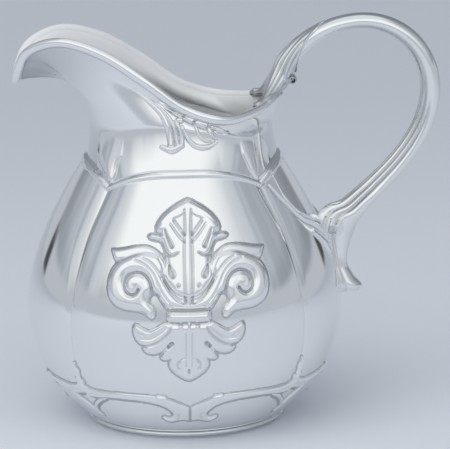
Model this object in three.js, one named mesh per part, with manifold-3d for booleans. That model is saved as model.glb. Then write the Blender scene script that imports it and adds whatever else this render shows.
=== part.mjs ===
// A polished aluminium water pitcher: a four-panelled bulb, a pinched neck drawn out into a drooping
// spout, a loop handle with a leaf wrap, and applied cast ornament. Millimetres, +Z up. The origin is
// the centre of the foot on the table; the spout points to -X, the handle to +X, the front panel to -Y.
import * as THREE from "three";
import { mergeVertices } from "three/addons/utils/BufferGeometryUtils.js";
import Module from "manifold-3d";

// Clearance between pieces that are soldered to each other, and how deep a seat is cut for it
const GAP = 0.3;
const SEAT_DEPTH = 1;

// Base disc: its rounded edge is the foot bead
const FOOT_RADIUS = 55.5;
const BASE_THICKNESS = 4;
const FOOT_STEP = 0.8;

// Bulb: wall, widest place, and the pulls that shape its two profile curves
const WALL = 3;
const BELLY_RADIUS = 88;
const BELLY_HEIGHT = 67;
const FOOT_FLARE_OUT = 17;
const FOOT_FLARE_UP = 11;
const BELLY_PULL_DOWN = 27;
const BELLY_PULL_UP = 28;
const SHOULDER_RADIUS = 54.5;
const SHOULDER_HEIGHT = 149;
const SHOULDER_PULL_OUT = 13.5;
const SHOULDER_PULL_DOWN = 21;

// Four panels: valleys between them, and the scalloped collar that ends them
const PANELS = 4;
const VALLEY_AT_BELLY = 1.4;
const VALLEY_AT_SHOULDER = 3;
const VALLEY_SHARPNESS = 5;
const CUSP_DROP = 11;
const CUSP_SHARPNESS = 2.6;
const COLLAR_HEIGHT = 4.5;
const COLLAR_RISE = 1.1;
const COLLAR_ROUND = 0.75;
const COLLAR_STEP = 4;
const FLANGE_DEPTH = 8;

// Neck and spout: the rim bead's centre line from the handle side to the tip of the spout, as distance
// towards the handle, half width and height above the shoulder
const NECK_STRAIGHT = 14;
const NECK_PULL_UP = 25;
const NECK_SIDE_PULL = 0.5;
const NECK_LEAST_PULL = 0.2;
const NECK_STRAIGHT_SHARE = 0.25;
const RIM_FLARE = 0.3;
const RIM_PULL = 7;
const SPOUT_PULL = 22;
const SPOUT_DROOP = 37;
const SPOUT_FOCUS = 8;
const TONGUE_RISE = 1.6;
const TONGUE_WIDTH = 11;
const TONGUE_POINT = 0.25;
const BEAD_RADIUS = 2.7;
const RIM_AT_HANDLE = [54.5, 0, 34];
const RIM_AT_CORNER = [40, 25.5, 28];
const RIM_AT_DIP = [20.5, 41.5, 26.5];
const RIM_AT_MIDDLE = [0, 41.3, 33.2];
const RIM_AT_RISE = [-21, 39.5, 48.5];
const RIM_AT_SLOPE = [-43, 32.3, 62.2];
const RIM_AT_CREST = [-66, 23.3, 68.3];
const RIM_AT_LIP = [-84.5, 11.8, 61];
const RIM_AT_TIP = [-91.3, 0, 44.5];

// Handle: its seat on the rim, its highest and outermost places, its root below the cusps, and the
// pulls of its centre line
const HANDLE_SEAT_INSET = 2.5;
const HANDLE_SEAT_RISE = 1;
const HANDLE_SEAT_PULL_OUT = 4;
const HANDLE_SEAT_PULL_UP = 15;
const HANDLE_TOP_OUT = 46.5;
const HANDLE_TOP_RISE = 39.2;
const HANDLE_TOP_PULL = 29;
const HANDLE_REACH = 51;
const HANDLE_BACK_RISE = 1;
const HANDLE_BACK_PULL = 30;
const HANDLE_ROOT_DROP = 35;
const HANDLE_ROOT_INSET = 3;
const HANDLE_ROOT_PULL_OUT = 34;
const HANDLE_ROOT_PULL_UP = 27;
const HANDLE_START_DEPTH = 10;
const HANDLE_TOP_DEPTH = 8.8;
const HANDLE_BACK_DEPTH = 11.2;
const HANDLE_LOW_DEPTH = 11.6;
const HANDLE_ROOT_DEPTH = 20;
const HANDLE_WIDTH = 13.5;
const HANDLE_ROOT_WIDTH = 19;
const FLUTE_DEPTH = 0.9;
const FLUTE_START = 0.8;

// Leaf wrapped round the handle's upper end, and the flared leaf below its root
const LEAF_START = 1;
const LEAF_LENGTH = 46;
const LEAF_HEEL_LENGTH = 16;
const LEAF_FOOT_DEPTH = 17.5;
const LEAF_FOOT_WIDTH = 17;
const LEAF_EDGE = 1;
const LEAF_CURL_RADIUS = 2.6;
const TAIL_LENGTH = 44;
const TAIL_DROP = 34.2;
const TAIL_STAND = 4.6;
const TAIL_FLARE = 6.5;
const TAIL_FLARE_SHARPNESS = 5;
const TAIL_HEAD = 20;
const TAIL_HEAD_SHARPNESS = 3.6;
const TAIL_WIDTH = 16;
const TAIL_WAIST = 9.6;
const TAIL_EDGE = 0.4;
const TAIL_BROW = 0.85;
const TAIL_BROW_WIDTH = 0.72;

// Applied ornament: the fleur-de-lis hung below the shoulder by the bar across its middle, the strands
// of the scrolls and the vine, and their relief heights
const FLEUR_DROP = 72;
const FLEUR_HEIGHT = 96;
const FLEUR_BAR_WIDTH = 24.4;
const FLEUR_BAR_DEPTH = 7;
const LEAF_RELIEF = 2.6;
const VOLUTE_RELIEF = 3.2;
const BAR_RELIEF = 4.2;
const SCROLL_WIDTH = 5;
const SCROLL_RELIEF = 1.7;
const STRAND_TAPER = 0.6;
const STRAND_BLUNTNESS = 8;
const BUD_WIDTH = 4.4;
const BUD_RELIEF = 2.2;
const VINE_WIDTH = 4.6;
const VINE_RELIEF = 1.8;
const VINE_SETBACK = 2.7;
const VINE_START_RISE = 3;
const VINE_END_DROP = 5;
const VINE_END_ANGLE = 39.5;
const BASE_SCROLL_END = 36;
const BASE_SCROLL_ARCH = 30;
const BASE_SCROLL_SLOPE = 24.5;
const BASE_SCROLL_DIP = 17.5;
const BUD_BOTTOM = 26;
const BUD_TOP = 44;

// Mesh fineness
const LOBE_STEPS = 6;
const LOWER_ROWS = 8;
const UPPER_ROWS = 9;
const INNER_LOWER_ROWS = 4;
const INNER_UPPER_ROWS = 5;
const COLLAR_ROWS = 4;
const NECK_ROWS = 11;
const NECK_INNER_ROWS = 7;
const ROUND_SEGMENTS = 48;
const EDGE_SEGMENTS = 4;
const BEAD_SIDES = 8;
const HANDLE_SEGMENTS = 32;
const HANDLE_SIDES = 12;
const LEAF_ROWS = 8;
const TAIL_ROWS = 8;
const FLEUR_GRID = 8;
const CURVE_POINTS = 3;
const STRAND_SIDES = 4;
const STRAND_SEGMENTS = 14;
const SHORT_STRAND_SEGMENTS = 8;

const POLISHED = { color: 0xd6d9dc, metalness: 1, roughness: 0.18 };
const SATIN = { color: 0xc3c7cb, metalness: 1, roughness: 0.34 };

const wasm = await Module();
wasm.setup();

const UP = new THREE.Vector3(0, 0, 1);
const RIGHT_ANGLE = Math.PI / 2;
const QUARTER = (2 * Math.PI) / PANELS;
const DEGREE = Math.PI / 180;

// Steps for taking slopes, and for halving a curve's parameter
const SMALL_TURN = 0.5 * DEGREE;
const SMALL_RISE = 0.5;
const SMALL_SHARE = 0.01;
const HALVINGS = 40;

const lerp = THREE.MathUtils.lerp;

function point(x, y, z) {
  return new THREE.Vector3(x, y, z);
}

// Directions once round a section.
function turnsOf(sides) {
  return Array.from({ length: sides }, (_, i) => (2 * Math.PI * i) / sides);
}

function polar(angle, radius, height) {
  return point(radius * Math.cos(angle), radius * Math.sin(angle), height);
}

// Joins and cuts

function solidOf(geometry) {
  const bare = geometry.clone();
  bare.deleteAttribute("normal");
  bare.deleteAttribute("uv");
  const merged = mergeVertices(bare, 1e-4);
  const vertProperties = merged.getAttribute("position").array;
  const triVerts = new Uint32Array(merged.index.array);
  return new wasm.Manifold(new wasm.Mesh({ numProp: 3, vertProperties, triVerts }));
}

function geometryOf(solid) {
  const mesh = solid.getMesh();
  const geometry = new THREE.BufferGeometry();
  geometry.setAttribute("position", new THREE.BufferAttribute(mesh.vertProperties, 3));
  geometry.setIndex(new THREE.BufferAttribute(mesh.triVerts, 1));
  return geometry;
}

// Lofts: rings of points, each ring in the same order, joined into a closed skin

function indexed(points, index) {
  const geometry = new THREE.BufferGeometry().setFromPoints(points);
  return geometry.setIndex(index);
}

function joinRings(rings, closed) {
  const count = rings[0].length;
  const last = closed ? rings.length : rings.length - 1;
  const index = [];
  for (let i = 0; i < last; i++) {
    const here = i * count;
    const next = ((i + 1) % rings.length) * count;
    for (let j = 0; j < count; j++) {
      const k = (j + 1) % count;
      index.push(here + j, next + j, next + k, here + j, next + k, here + k);
    }
  }
  return index;
}

// Rings that run all the way round and meet the first one again.
function closedLoft(rings) {
  return indexed(rings.flat(), joinRings(rings, true));
}

// Rings from one end to the other, with a flat fan over each end.
function cappedLoft(rings) {
  const points = rings.flat();
  const index = joinRings(rings, false);
  const count = rings[0].length;
  const ends = [rings[0], rings.at(-1)];
  ends.forEach((ring, end) => {
    const hub = points.length;
    const first = end * (rings.length - 1) * count;
    const centre = point(0, 0, 0);
    ring.forEach((p) => centre.addScaledVector(p, 1 / count));
    points.push(centre);
    for (let j = 0; j < count; j++) {
      const a = first + j;
      const b = first + ((j + 1) % count);
      index.push(...(end ? [hub, b, a] : [hub, a, b]));
    }
  });
  return indexed(points, index);
}

// Bulb

const wallFoot = BASE_THICKNESS + GAP;
const cuspHeight = SHOULDER_HEIGHT - CUSP_DROP;
const lowerProfile = new THREE.CubicBezierCurve(
  new THREE.Vector2(FOOT_RADIUS - FOOT_STEP, wallFoot),
  new THREE.Vector2(FOOT_RADIUS - FOOT_STEP + FOOT_FLARE_OUT, wallFoot + FOOT_FLARE_UP),
  new THREE.Vector2(BELLY_RADIUS, BELLY_HEIGHT - BELLY_PULL_DOWN),
  new THREE.Vector2(BELLY_RADIUS, BELLY_HEIGHT),
);
const upperProfile = new THREE.CubicBezierCurve(
  new THREE.Vector2(BELLY_RADIUS, BELLY_HEIGHT),
  new THREE.Vector2(BELLY_RADIUS, BELLY_HEIGHT + BELLY_PULL_UP),
  new THREE.Vector2(SHOULDER_RADIUS + SHOULDER_PULL_OUT, SHOULDER_HEIGHT - SHOULDER_PULL_DOWN),
  new THREE.Vector2(SHOULDER_RADIUS, SHOULDER_HEIGHT),
);

// The profile's radius at a height, found by halving the curve's own parameter.
function profileRadius(z) {
  const curve = z < BELLY_HEIGHT ? lowerProfile : upperProfile;
  let low = 0;
  let high = 1;
  for (let i = 0; i < HALVINGS; i++) {
    const middle = (low + high) / 2;
    if (curve.getPoint(middle).y < z) low = middle;
    else high = middle;
  }
  return curve.getPoint(low).x;
}

// How far round its panel a direction is: 0 at the panel's middle, 1 at the valley beside it.
function acrossPanel(angle) {
  const turns = angle / QUARTER;
  return Math.abs(turns - Math.round(turns)) * 2;
}

function valleyDepth(z) {
  const rise = THREE.MathUtils.clamp((z - wallFoot) / (BELLY_HEIGHT - wallFoot), 0, 1);
  const upper = THREE.MathUtils.clamp((z - BELLY_HEIGHT) / (SHOULDER_HEIGHT - BELLY_HEIGHT), 0, 1);
  return lerp(VALLEY_AT_BELLY * rise, VALLEY_AT_SHOULDER, upper);
}

function bulbRadius(angle, z) {
  return profileRadius(z) - valleyDepth(z) * acrossPanel(angle) ** VALLEY_SHARPNESS;
}

function bulbPoint(angle, z) {
  return polar(angle, bulbRadius(angle, z), z);
}

// Top edge of the collar: a low arch over each panel and a cusp over each valley.
function collarHeight(angle) {
  return SHOULDER_HEIGHT - CUSP_DROP * acrossPanel(angle) ** CUSP_SHARPNESS;
}

// Panel directions, somewhat closer together beside the valleys.
function panelAngles() {
  const angles = [];
  for (let panel = 0; panel < PANELS; panel++) {
    for (let i = -LOBE_STEPS; i < LOBE_STEPS; i++) {
      const even = i / LOBE_STEPS;
      const across = (even + Math.sin(RIGHT_ANGLE * even)) / 2;
      angles.push(panel * QUARTER + (across * QUARTER) / 2);
    }
  }
  return angles;
}

function bulbHeights(top, lowerRows = LOWER_ROWS, upperRows = UPPER_ROWS) {
  const heights = [];
  for (let i = 0; i < lowerRows; i++) heights.push(lowerProfile.getPoint(i / lowerRows).y);
  for (let i = 0; i <= upperRows; i++) heights.push(lerp(BELLY_HEIGHT, top, i / upperRows));
  return heights;
}

// Radial thickness of a wall of constant thickness where the profile slopes.
function radialWall(z) {
  const low = Math.max(wallFoot, z - SMALL_RISE);
  const high = z + SMALL_RISE;
  const slope = (profileRadius(high) - profileRadius(low)) / (high - low);
  return WALL * Math.hypot(1, slope);
}

// Outer radius of the neck where it stands on the collar.
function neckFootRadius(angle) {
  return bulbRadius(angle, collarHeight(angle)) - COLLAR_STEP;
}

function bulbGeometry() {
  const rings = panelAngles().map((angle) => {
    const top = collarHeight(angle);
    const heights = bulbHeights(top - COLLAR_HEIGHT);
    const ring = heights.map((z) => bulbPoint(angle, z));
    for (let i = 1; i <= COLLAR_ROWS; i++) {
      const share = i / COLLAR_ROWS;
      const z = top - COLLAR_HEIGHT * (1 - share);
      const rise = COLLAR_RISE * Math.sin(Math.PI * Math.min(share, COLLAR_ROUND));
      ring.push(polar(angle, bulbRadius(angle, z) + rise, z));
    }
    const throat = neckFootRadius(angle) - WALL;
    ring.push(polar(angle, throat, top));
    ring.push(polar(angle, throat, top - WALL));
    const inner = bulbHeights(top - FLANGE_DEPTH, INNER_LOWER_ROWS, INNER_UPPER_ROWS).reverse();
    inner.forEach((z) => ring.push(polar(angle, bulbRadius(angle, z) - radialWall(z), z)));
    return ring;
  });
  return closedLoft(rings);
}

// The bulb's outside grown by the clearance, as a solid that cuts a seat into what stands on it.
function bulbCutter() {
  const heights = bulbHeights(cuspHeight);
  const angles = panelAngles().reverse();
  const rings = heights.map((z) =>
    angles.map((angle) => polar(angle, bulbRadius(angle, z) + (GAP * radialWall(z)) / WALL, z)),
  );
  return solidOf(cappedLoft(rings));
}

const bulbRoom = bulbCutter();

// Rim: one side's stations, mirrored into a closed curve

function rimStation([x, y, rise]) {
  return point(x, y, SHOULDER_HEIGHT + rise);
}

const rimAtHandle = rimStation(RIM_AT_HANDLE);
const rimBack = [
  RIM_AT_CORNER,
  RIM_AT_DIP,
  RIM_AT_MIDDLE,
  RIM_AT_RISE,
  RIM_AT_SLOPE,
  RIM_AT_CREST,
  RIM_AT_LIP,
].map(rimStation);
const rimFront = rimBack.map((p) => point(p.x, -p.y, p.z)).reverse();
const rim = new THREE.CatmullRomCurve3(
  [rimAtHandle, ...rimBack, rimStation(RIM_AT_TIP), ...rimFront],
  true,
);

// How much a direction belongs to the spout: 1 at its tip, fading to 0 at the sides.
function spoutShare(angle) {
  return Math.max(0, -Math.cos(angle)) ** SPOUT_FOCUS;
}

// The rim seen in one direction: its centre, and the ways out of the wall's edge and across the wall.
function rimFrame(angle) {
  const share = THREE.MathUtils.euclideanModulo(angle / (2 * Math.PI), 1);
  const centre = rim.getPoint(share);
  const along = rim.getTangent(share);
  const outward = point(along.y, -along.x, 0).normalize();
  const droop = SPOUT_DROOP * DEGREE;
  const tip = point(-Math.cos(droop), 0, -Math.sin(droop));
  const flare = UP.clone().addScaledVector(outward, RIM_FLARE).lerp(tip, spoutShare(angle));
  flare.addScaledVector(along, -flare.dot(along)).normalize();
  const across = new THREE.Vector3().crossVectors(along, flare).normalize();
  return { centre, flare, across };
}

function rimTube(radius) {
  const rings = panelAngles().map((angle) => {
    const { centre, flare, across } = rimFrame(angle);
    return turnsOf(BEAD_SIDES).map((turn) =>
      centre
        .clone()
        .addScaledVector(across, radius * Math.cos(turn))
        .addScaledVector(flare, radius * Math.sin(turn)),
    );
  });
  return closedLoft(rings);
}

// Neck and spout: one meridian for each direction, straight above the collar and then drawn to the rim

function meridian(angle) {
  const { centre, flare, across } = rimFrame(angle);
  const spout = spoutShare(angle);
  const seat = centre.addScaledVector(flare, -BEAD_RADIUS - GAP * (1 + spout));
  const end = seat.addScaledVector(across, WALL / 2);
  const foot = polar(angle, neckFootRadius(angle), collarHeight(angle) + GAP);
  const bend = polar(angle, neckFootRadius(0), SHOULDER_HEIGHT + NECK_STRAIGHT);
  const room = THREE.MathUtils.clamp((end.z - bend.z) / NECK_PULL_UP, NECK_LEAST_PULL, 1);
  const pull = lerp(RIM_PULL, SPOUT_PULL, spout);
  const curve = new THREE.CubicBezierCurve3(
    bend,
    bend.clone().addScaledVector(UP, NECK_PULL_UP * room * lerp(NECK_SIDE_PULL, 1, spout)),
    end.clone().addScaledVector(flare, -pull),
    end,
  );
  return { foot, bend, curve };
}

function neckPoint(angle, share) {
  const line = meridian(angle);
  const above = share - NECK_STRAIGHT_SHARE;
  if (above < 0) return line.foot.lerp(line.bend, share / NECK_STRAIGHT_SHARE);
  return line.curve.getPoint(above / (1 - NECK_STRAIGHT_SHARE));
}

// Outward direction of a surface given as a function of two numbers.
function outwardOf(surface, a, b, stepA, stepB, lowB, highB) {
  const overA = surface(a + stepA, b).sub(surface(a - stepA, b));
  const overB = surface(a, Math.min(highB, b + stepB)).sub(surface(a, Math.max(lowB, b - stepB)));
  return overA.cross(overB).normalize();
}

function neckOutward(angle, share) {
  return outwardOf(neckPoint, angle, share, SMALL_TURN, SMALL_SHARE, 0, 1);
}

function bulbOutward(angle, z) {
  return outwardOf(bulbPoint, angle, z, SMALL_TURN, SMALL_RISE, wallFoot, SHOULDER_HEIGHT);
}

// Raised tongue over each cusp: pointed at the collar, widening and fading towards the rim.
function tongueRise(angle, share) {
  const fromValley = ((1 - acrossPanel(angle)) * QUARTER) / 2 / DEGREE;
  const width = TONGUE_WIDTH * (TONGUE_POINT + share);
  return TONGUE_RISE * Math.max(0, 1 - fromValley / width) * (1 - share);
}

// The neck wall, with its outer skin moved out by a clearance when it cuts what lies on it.
function neckGeometry(clearance = 0) {
  const skin = (angle, share, rise) => {
    const outward = share === 1 ? rimFrame(angle).across : neckOutward(angle, share);
    if (share === 0) outward.setZ(0).normalize();
    return neckPoint(angle, share).addScaledVector(outward, rise);
  };
  const rings = panelAngles().map((angle) => {
    const ring = [];
    for (let i = 0; i <= NECK_ROWS; i++) {
      const share = i / NECK_ROWS;
      ring.push(skin(angle, share, tongueRise(angle, share) + clearance));
    }
    for (let i = NECK_INNER_ROWS; i >= 0; i--) {
      ring.push(skin(angle, i / NECK_INNER_ROWS, -WALL));
    }
    return ring;
  });
  return closedLoft(rings);
}

// Base disc with a half-round edge

function baseGeometry() {
  const half = BASE_THICKNESS / 2;
  const profile = [new THREE.Vector2(0, 0)];
  for (let i = 0; i <= EDGE_SEGMENTS; i++) {
    const turn = -RIGHT_ANGLE + (Math.PI * i) / EDGE_SEGMENTS;
    const out = FOOT_RADIUS - half + half * Math.cos(turn);
    profile.push(new THREE.Vector2(out, half + half * Math.sin(turn)));
  }
  profile.push(new THREE.Vector2(0, BASE_THICKNESS));
  return new THREE.LatheGeometry(profile, ROUND_SEGMENTS).rotateX(RIGHT_ANGLE);
}

// Handle: an oval, fluted section carried along the centre line

const handleStart = point(rimAtHandle.x - HANDLE_SEAT_INSET, 0, rimAtHandle.z + HANDLE_SEAT_RISE);
const handleTop = point(rimAtHandle.x + HANDLE_TOP_OUT, 0, rimAtHandle.z + HANDLE_TOP_RISE);
const handleBack = point(BELLY_RADIUS + HANDLE_REACH, 0, rimAtHandle.z + HANDLE_BACK_RISE);
const rootHeight = cuspHeight - HANDLE_ROOT_DROP;
const handleRoot = point(bulbRadius(0, rootHeight) - HANDLE_ROOT_INSET, 0, rootHeight);
const ROUND_PULL = 0.5523;
const handlePath = new THREE.CurvePath();
handlePath.add(
  new THREE.CubicBezierCurve3(
    handleStart,
    point(handleStart.x + HANDLE_SEAT_PULL_OUT, 0, handleStart.z + HANDLE_SEAT_PULL_UP),
    point(handleTop.x - HANDLE_TOP_PULL, 0, handleTop.z),
    handleTop,
  ),
);
handlePath.add(
  new THREE.CubicBezierCurve3(
    handleTop,
    point(lerp(handleTop.x, handleBack.x, ROUND_PULL), 0, handleTop.z),
    point(handleBack.x, 0, lerp(handleBack.z, handleTop.z, ROUND_PULL)),
    handleBack,
  ),
);
handlePath.add(
  new THREE.CubicBezierCurve3(
    handleBack,
    point(handleBack.x, 0, handleBack.z - HANDLE_BACK_PULL),
    point(handleRoot.x + HANDLE_ROOT_PULL_OUT, 0, handleRoot.z + HANDLE_ROOT_PULL_UP),
    handleRoot,
  ),
);
const handleLength = handlePath.getLength();

const handleDepths = new THREE.CatmullRomCurve3([
  point(0, HANDLE_START_DEPTH, HANDLE_WIDTH),
  point(0, HANDLE_TOP_DEPTH, HANDLE_WIDTH),
  point(0, HANDLE_BACK_DEPTH, HANDLE_WIDTH),
  point(0, HANDLE_LOW_DEPTH, HANDLE_WIDTH),
  point(0, HANDLE_ROOT_DEPTH, HANDLE_ROOT_WIDTH),
]);

// A point of a section along the handle: depth in the handle's plane, width across it.
function sectionPoint(share, turn, depth, width, flute) {
  const centre = handlePath.getPointAt(share);
  const along = handlePath.getTangentAt(share);
  const outside = point(-along.z, 0, along.x);
  const side = Math.max(0, Math.abs(Math.sin(turn)) - FLUTE_START) / (1 - FLUTE_START);
  const waist = 1 - flute * side;
  centre.addScaledVector(outside, (depth / 2) * Math.cos(turn));
  centre.y += (width / 2) * Math.sin(turn) * waist;
  return centre;
}

function handlePoint(share, turn, grow) {
  const size = handleDepths.getPoint(share);
  const flute = (FLUTE_DEPTH / size.z) * 2;
  return sectionPoint(share, turn, size.y + 2 * grow, size.z + 2 * grow, grow ? 0 : flute);
}

function handleLoft(from, to, segments, grow) {
  const rings = [];
  for (let i = 0; i <= segments; i++) {
    const share = lerp(from, to, i / segments);
    rings.push(turnsOf(HANDLE_SIDES).map((turn) => handlePoint(share, turn, grow)));
  }
  return cappedLoft(rings);
}

// Tail: level sections from the root down the bulb, drawn in below the handle and flaring at the tip.
function tailGeometry() {
  const rings = [];
  for (let i = 0; i <= TAIL_ROWS; i++) {
    const share = i / TAIL_ROWS;
    const z = rootHeight - TAIL_DROP + TAIL_LENGTH * share;
    const face = bulbRadius(0, z);
    const flare = TAIL_FLARE * (1 - share) ** TAIL_FLARE_SHARPNESS;
    const head = TAIL_HEAD * share ** TAIL_HEAD_SHARPNESS;
    const reach = face + TAIL_STAND + flare + head;
    const half = lerp(TAIL_WAIST, TAIL_WIDTH, Math.cos(Math.PI * share) ** 2) / 2;
    const inside = face - WALL;
    const edge = lerp(face, reach, TAIL_EDGE);
    const brow = lerp(face, reach, TAIL_BROW);
    rings.push([
      point(inside, half, z),
      point(edge, half, z),
      point(brow, half * TAIL_BROW_WIDTH, z),
      point(reach, 0, z),
      point(brow, -half * TAIL_BROW_WIDTH, z),
      point(edge, -half, z),
      point(inside, -half, z),
    ]);
  }
  return cappedLoft(rings);
}

function handleGeometry() {
  const loop = solidOf(handleLoft(0, 1, HANDLE_SEGMENTS, 0));
  const tail = solidOf(tailGeometry());
  const rimRoom = solidOf(rimTube(BEAD_RADIUS + GAP));
  return geometryOf(loop.add(tail).subtract(bulbRoom).subtract(rimRoom));
}

// Leaf wrap: a sleeve on the handle, long on top and short below, with a curled heel
function leafGeometry() {
  const rings = [];
  for (let i = 0; i <= LEAF_ROWS; i++) {
    const part = i / LEAF_ROWS;
    rings.push(
      turnsOf(HANDLE_SIDES).map((turn) => {
        const top = (1 + Math.cos(turn)) / 2;
        const share = lerp(LEAF_START, lerp(LEAF_HEEL_LENGTH, LEAF_LENGTH, top), part) / handleLength;
        const size = handleDepths.getPoint(share);
        const edge = 2 * (GAP + LEAF_EDGE);
        const depth = lerp(LEAF_FOOT_DEPTH, size.y + edge, Math.sqrt(part));
        const width = lerp(LEAF_FOOT_WIDTH, size.z + edge, part);
        return sectionPoint(share, turn, depth, width, 0);
      }),
    );
  }
  const sleeve = solidOf(cappedLoft(rings));
  const boreLength = LEAF_LENGTH + LEAF_HEEL_LENGTH;
  const bore = solidOf(handleLoft(0, boreLength / handleLength, 2 * LEAF_ROWS, GAP));
  const heelShare = LEAF_HEEL_LENGTH / 2 / handleLength;
  const heel = sectionPoint(heelShare, Math.PI, LEAF_FOOT_DEPTH, 0, 0);
  const curl = new THREE.CylinderGeometry(
    LEAF_CURL_RADIUS,
    LEAF_CURL_RADIUS,
    LEAF_FOOT_WIDTH / 2,
    HANDLE_SIDES,
  );
  curl.translate(heel.x, 0, heel.z);
  const rimRoom = solidOf(rimTube(BEAD_RADIUS + GAP));
  return geometryOf(sleeve.add(solidOf(curl)).subtract(bore).subtract(rimRoom));
}

// Applied ornament

// A closed slab over a patch of a surface, from below it to a relief height above it.
function reliefSlab(surface, outward, patch, relief) {
  const [fromA, toA, fromB, toB] = patch.range;
  const rings = [];
  for (let i = 0; i <= patch.columns; i++) {
    const a = lerp(fromA, toA, i / patch.columns);
    const ring = [];
    const back = [];
    for (let j = 0; j <= patch.rows; j++) {
      const b = lerp(fromB, toB, j / patch.rows);
      const skin = surface(a, b);
      const normal = outward(a, b);
      ring.push(skin.clone().addScaledVector(normal, GAP + relief));
      back.unshift(skin.clone().addScaledVector(normal, -SEAT_DEPTH));
    }
    rings.push(ring.concat(back));
  }
  return rings;
}

// The two ends of a slab are strips between its front and back rows.
function slabGeometry(rings) {
  const count = rings[0].length;
  const rows = count / 2 - 1;
  const index = joinRings(rings, false);
  const last = (rings.length - 1) * count;
  for (let j = 0; j < rows; j++) {
    const behind = count - 1 - j;
    index.push(j, j + 1, behind, j + 1, behind - 1, behind);
    index.push(last + j, last + behind, last + j + 1, last + j + 1, last + behind, last + behind - 1);
  }
  return indexed(rings.flat(), index);
}

// Right half of an outline, closed with its mirror image.
function mirroredShape(half) {
  const right = half.getPoints(CURVE_POINTS);
  const left = right.map((p) => new THREE.Vector2(-p.x, p.y)).reverse();
  return new THREE.Shape([...right, ...left.slice(1, -1)]);
}

// The fleur's outlines are drawn from the bar's middle, on a field of this size.
const FLEUR_FIELD = { height: 96, halfSpan: 46, above: 61, below: 38 };
const fleurScale = FLEUR_HEIGHT / FLEUR_FIELD.height;

function upperLeafShape() {
  const half = new THREE.Path();
  half.moveTo(0, 60);
  half.bezierCurveTo(6, 57, 15, 52, 17, 46);
  half.quadraticCurveTo(17.6, 43, 16.3, 40.5);
  half.lineTo(21.3, 40.7);
  half.quadraticCurveTo(18, 34, 11, 31);
  half.bezierCurveTo(8, 22, 6, 12, 0, 2);
  return mirroredShape(half);
}

function lowerLeafShape() {
  const half = new THREE.Path();
  half.moveTo(0, -2);
  half.lineTo(9, -2);
  half.bezierCurveTo(14, -10, 22, -11, 27.5, -4);
  half.bezierCurveTo(30, -10, 27, -17, 23.7, -19);
  half.quadraticCurveTo(17, -22, 10.5, -24.7);
  half.bezierCurveTo(9, -29, 5, -33, 0, -36);
  return mirroredShape(half);
}

// One scroll of the fleur: an S-shaped band that rises from the bar and rolls over outwards.
function voluteShape(side) {
  const outline = new THREE.Path();
  outline.moveTo(2 * side, 2);
  outline.bezierCurveTo(10 * side, 9, 12 * side, 30, 22 * side, 36.5);
  outline.quadraticCurveTo(30 * side, 34, 40.5 * side, 33);
  outline.quadraticCurveTo(38 * side, 30, 38.5 * side, 27);
  outline.bezierCurveTo(45.5 * side, 21, 46 * side, 9, 39.7 * side, 4);
  outline.bezierCurveTo(34 * side, 1, 26 * side, 4, 19.9 * side, -0.5);
  outline.bezierCurveTo(22.5 * side, 4, 22 * side, 9, 20 * side, 13);
  outline.quadraticCurveTo(15 * side, 7, 12 * side, 1);
  const points = outline.getPoints(CURVE_POINTS);
  return new THREE.Shape(side > 0 ? points : points.reverse());
}

function barShape() {
  const half = new THREE.Path();
  half.moveTo(0, FLEUR_BAR_DEPTH / 2);
  half.lineTo(FLEUR_BAR_WIDTH / 2, FLEUR_BAR_DEPTH / 2);
  half.lineTo(FLEUR_BAR_WIDTH / 2, -FLEUR_BAR_DEPTH / 2);
  half.lineTo(0, -FLEUR_BAR_DEPTH / 2);
  return mirroredShape(half);
}

// Fleur-de-lis: outlines seen from the front cut out of slabs that follow the bulb.
function fleurGeometry() {
  const barHeight = SHOULDER_HEIGHT - FLEUR_DROP;
  const span = FLEUR_FIELD.halfSpan * fleurScale;
  const reach = Math.asin(span / bulbRadius(-RIGHT_ANGLE, barHeight));
  const patch = {
    columns: FLEUR_GRID,
    rows: FLEUR_GRID,
    range: [
      -RIGHT_ANGLE - reach,
      -RIGHT_ANGLE + reach,
      barHeight - FLEUR_FIELD.below * fleurScale,
      barHeight + FLEUR_FIELD.above * fleurScale,
    ],
  };
  const cut = (shape, relief, scale = fleurScale) => {
    const slab = solidOf(slabGeometry(reliefSlab(bulbPoint, bulbOutward, patch, relief)));
    const prism = new THREE.ExtrudeGeometry(shape, { depth: 2 * BELLY_RADIUS, bevelEnabled: false });
    prism.scale(scale, scale, 1);
    prism.rotateX(RIGHT_ANGLE);
    prism.translate(0, 0, barHeight);
    return slab.intersect(solidOf(prism));
  };
  const pieces = [
    cut(upperLeafShape(), LEAF_RELIEF),
    cut(voluteShape(1), VOLUTE_RELIEF),
    cut(voluteShape(-1), VOLUTE_RELIEF),
    cut(lowerLeafShape(), LEAF_RELIEF),
    cut(barShape(), BAR_RELIEF, 1),
  ];
  return geometryOf(pieces.reduce((whole, piece) => whole.add(piece)).subtract(bulbRoom));
}

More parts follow.
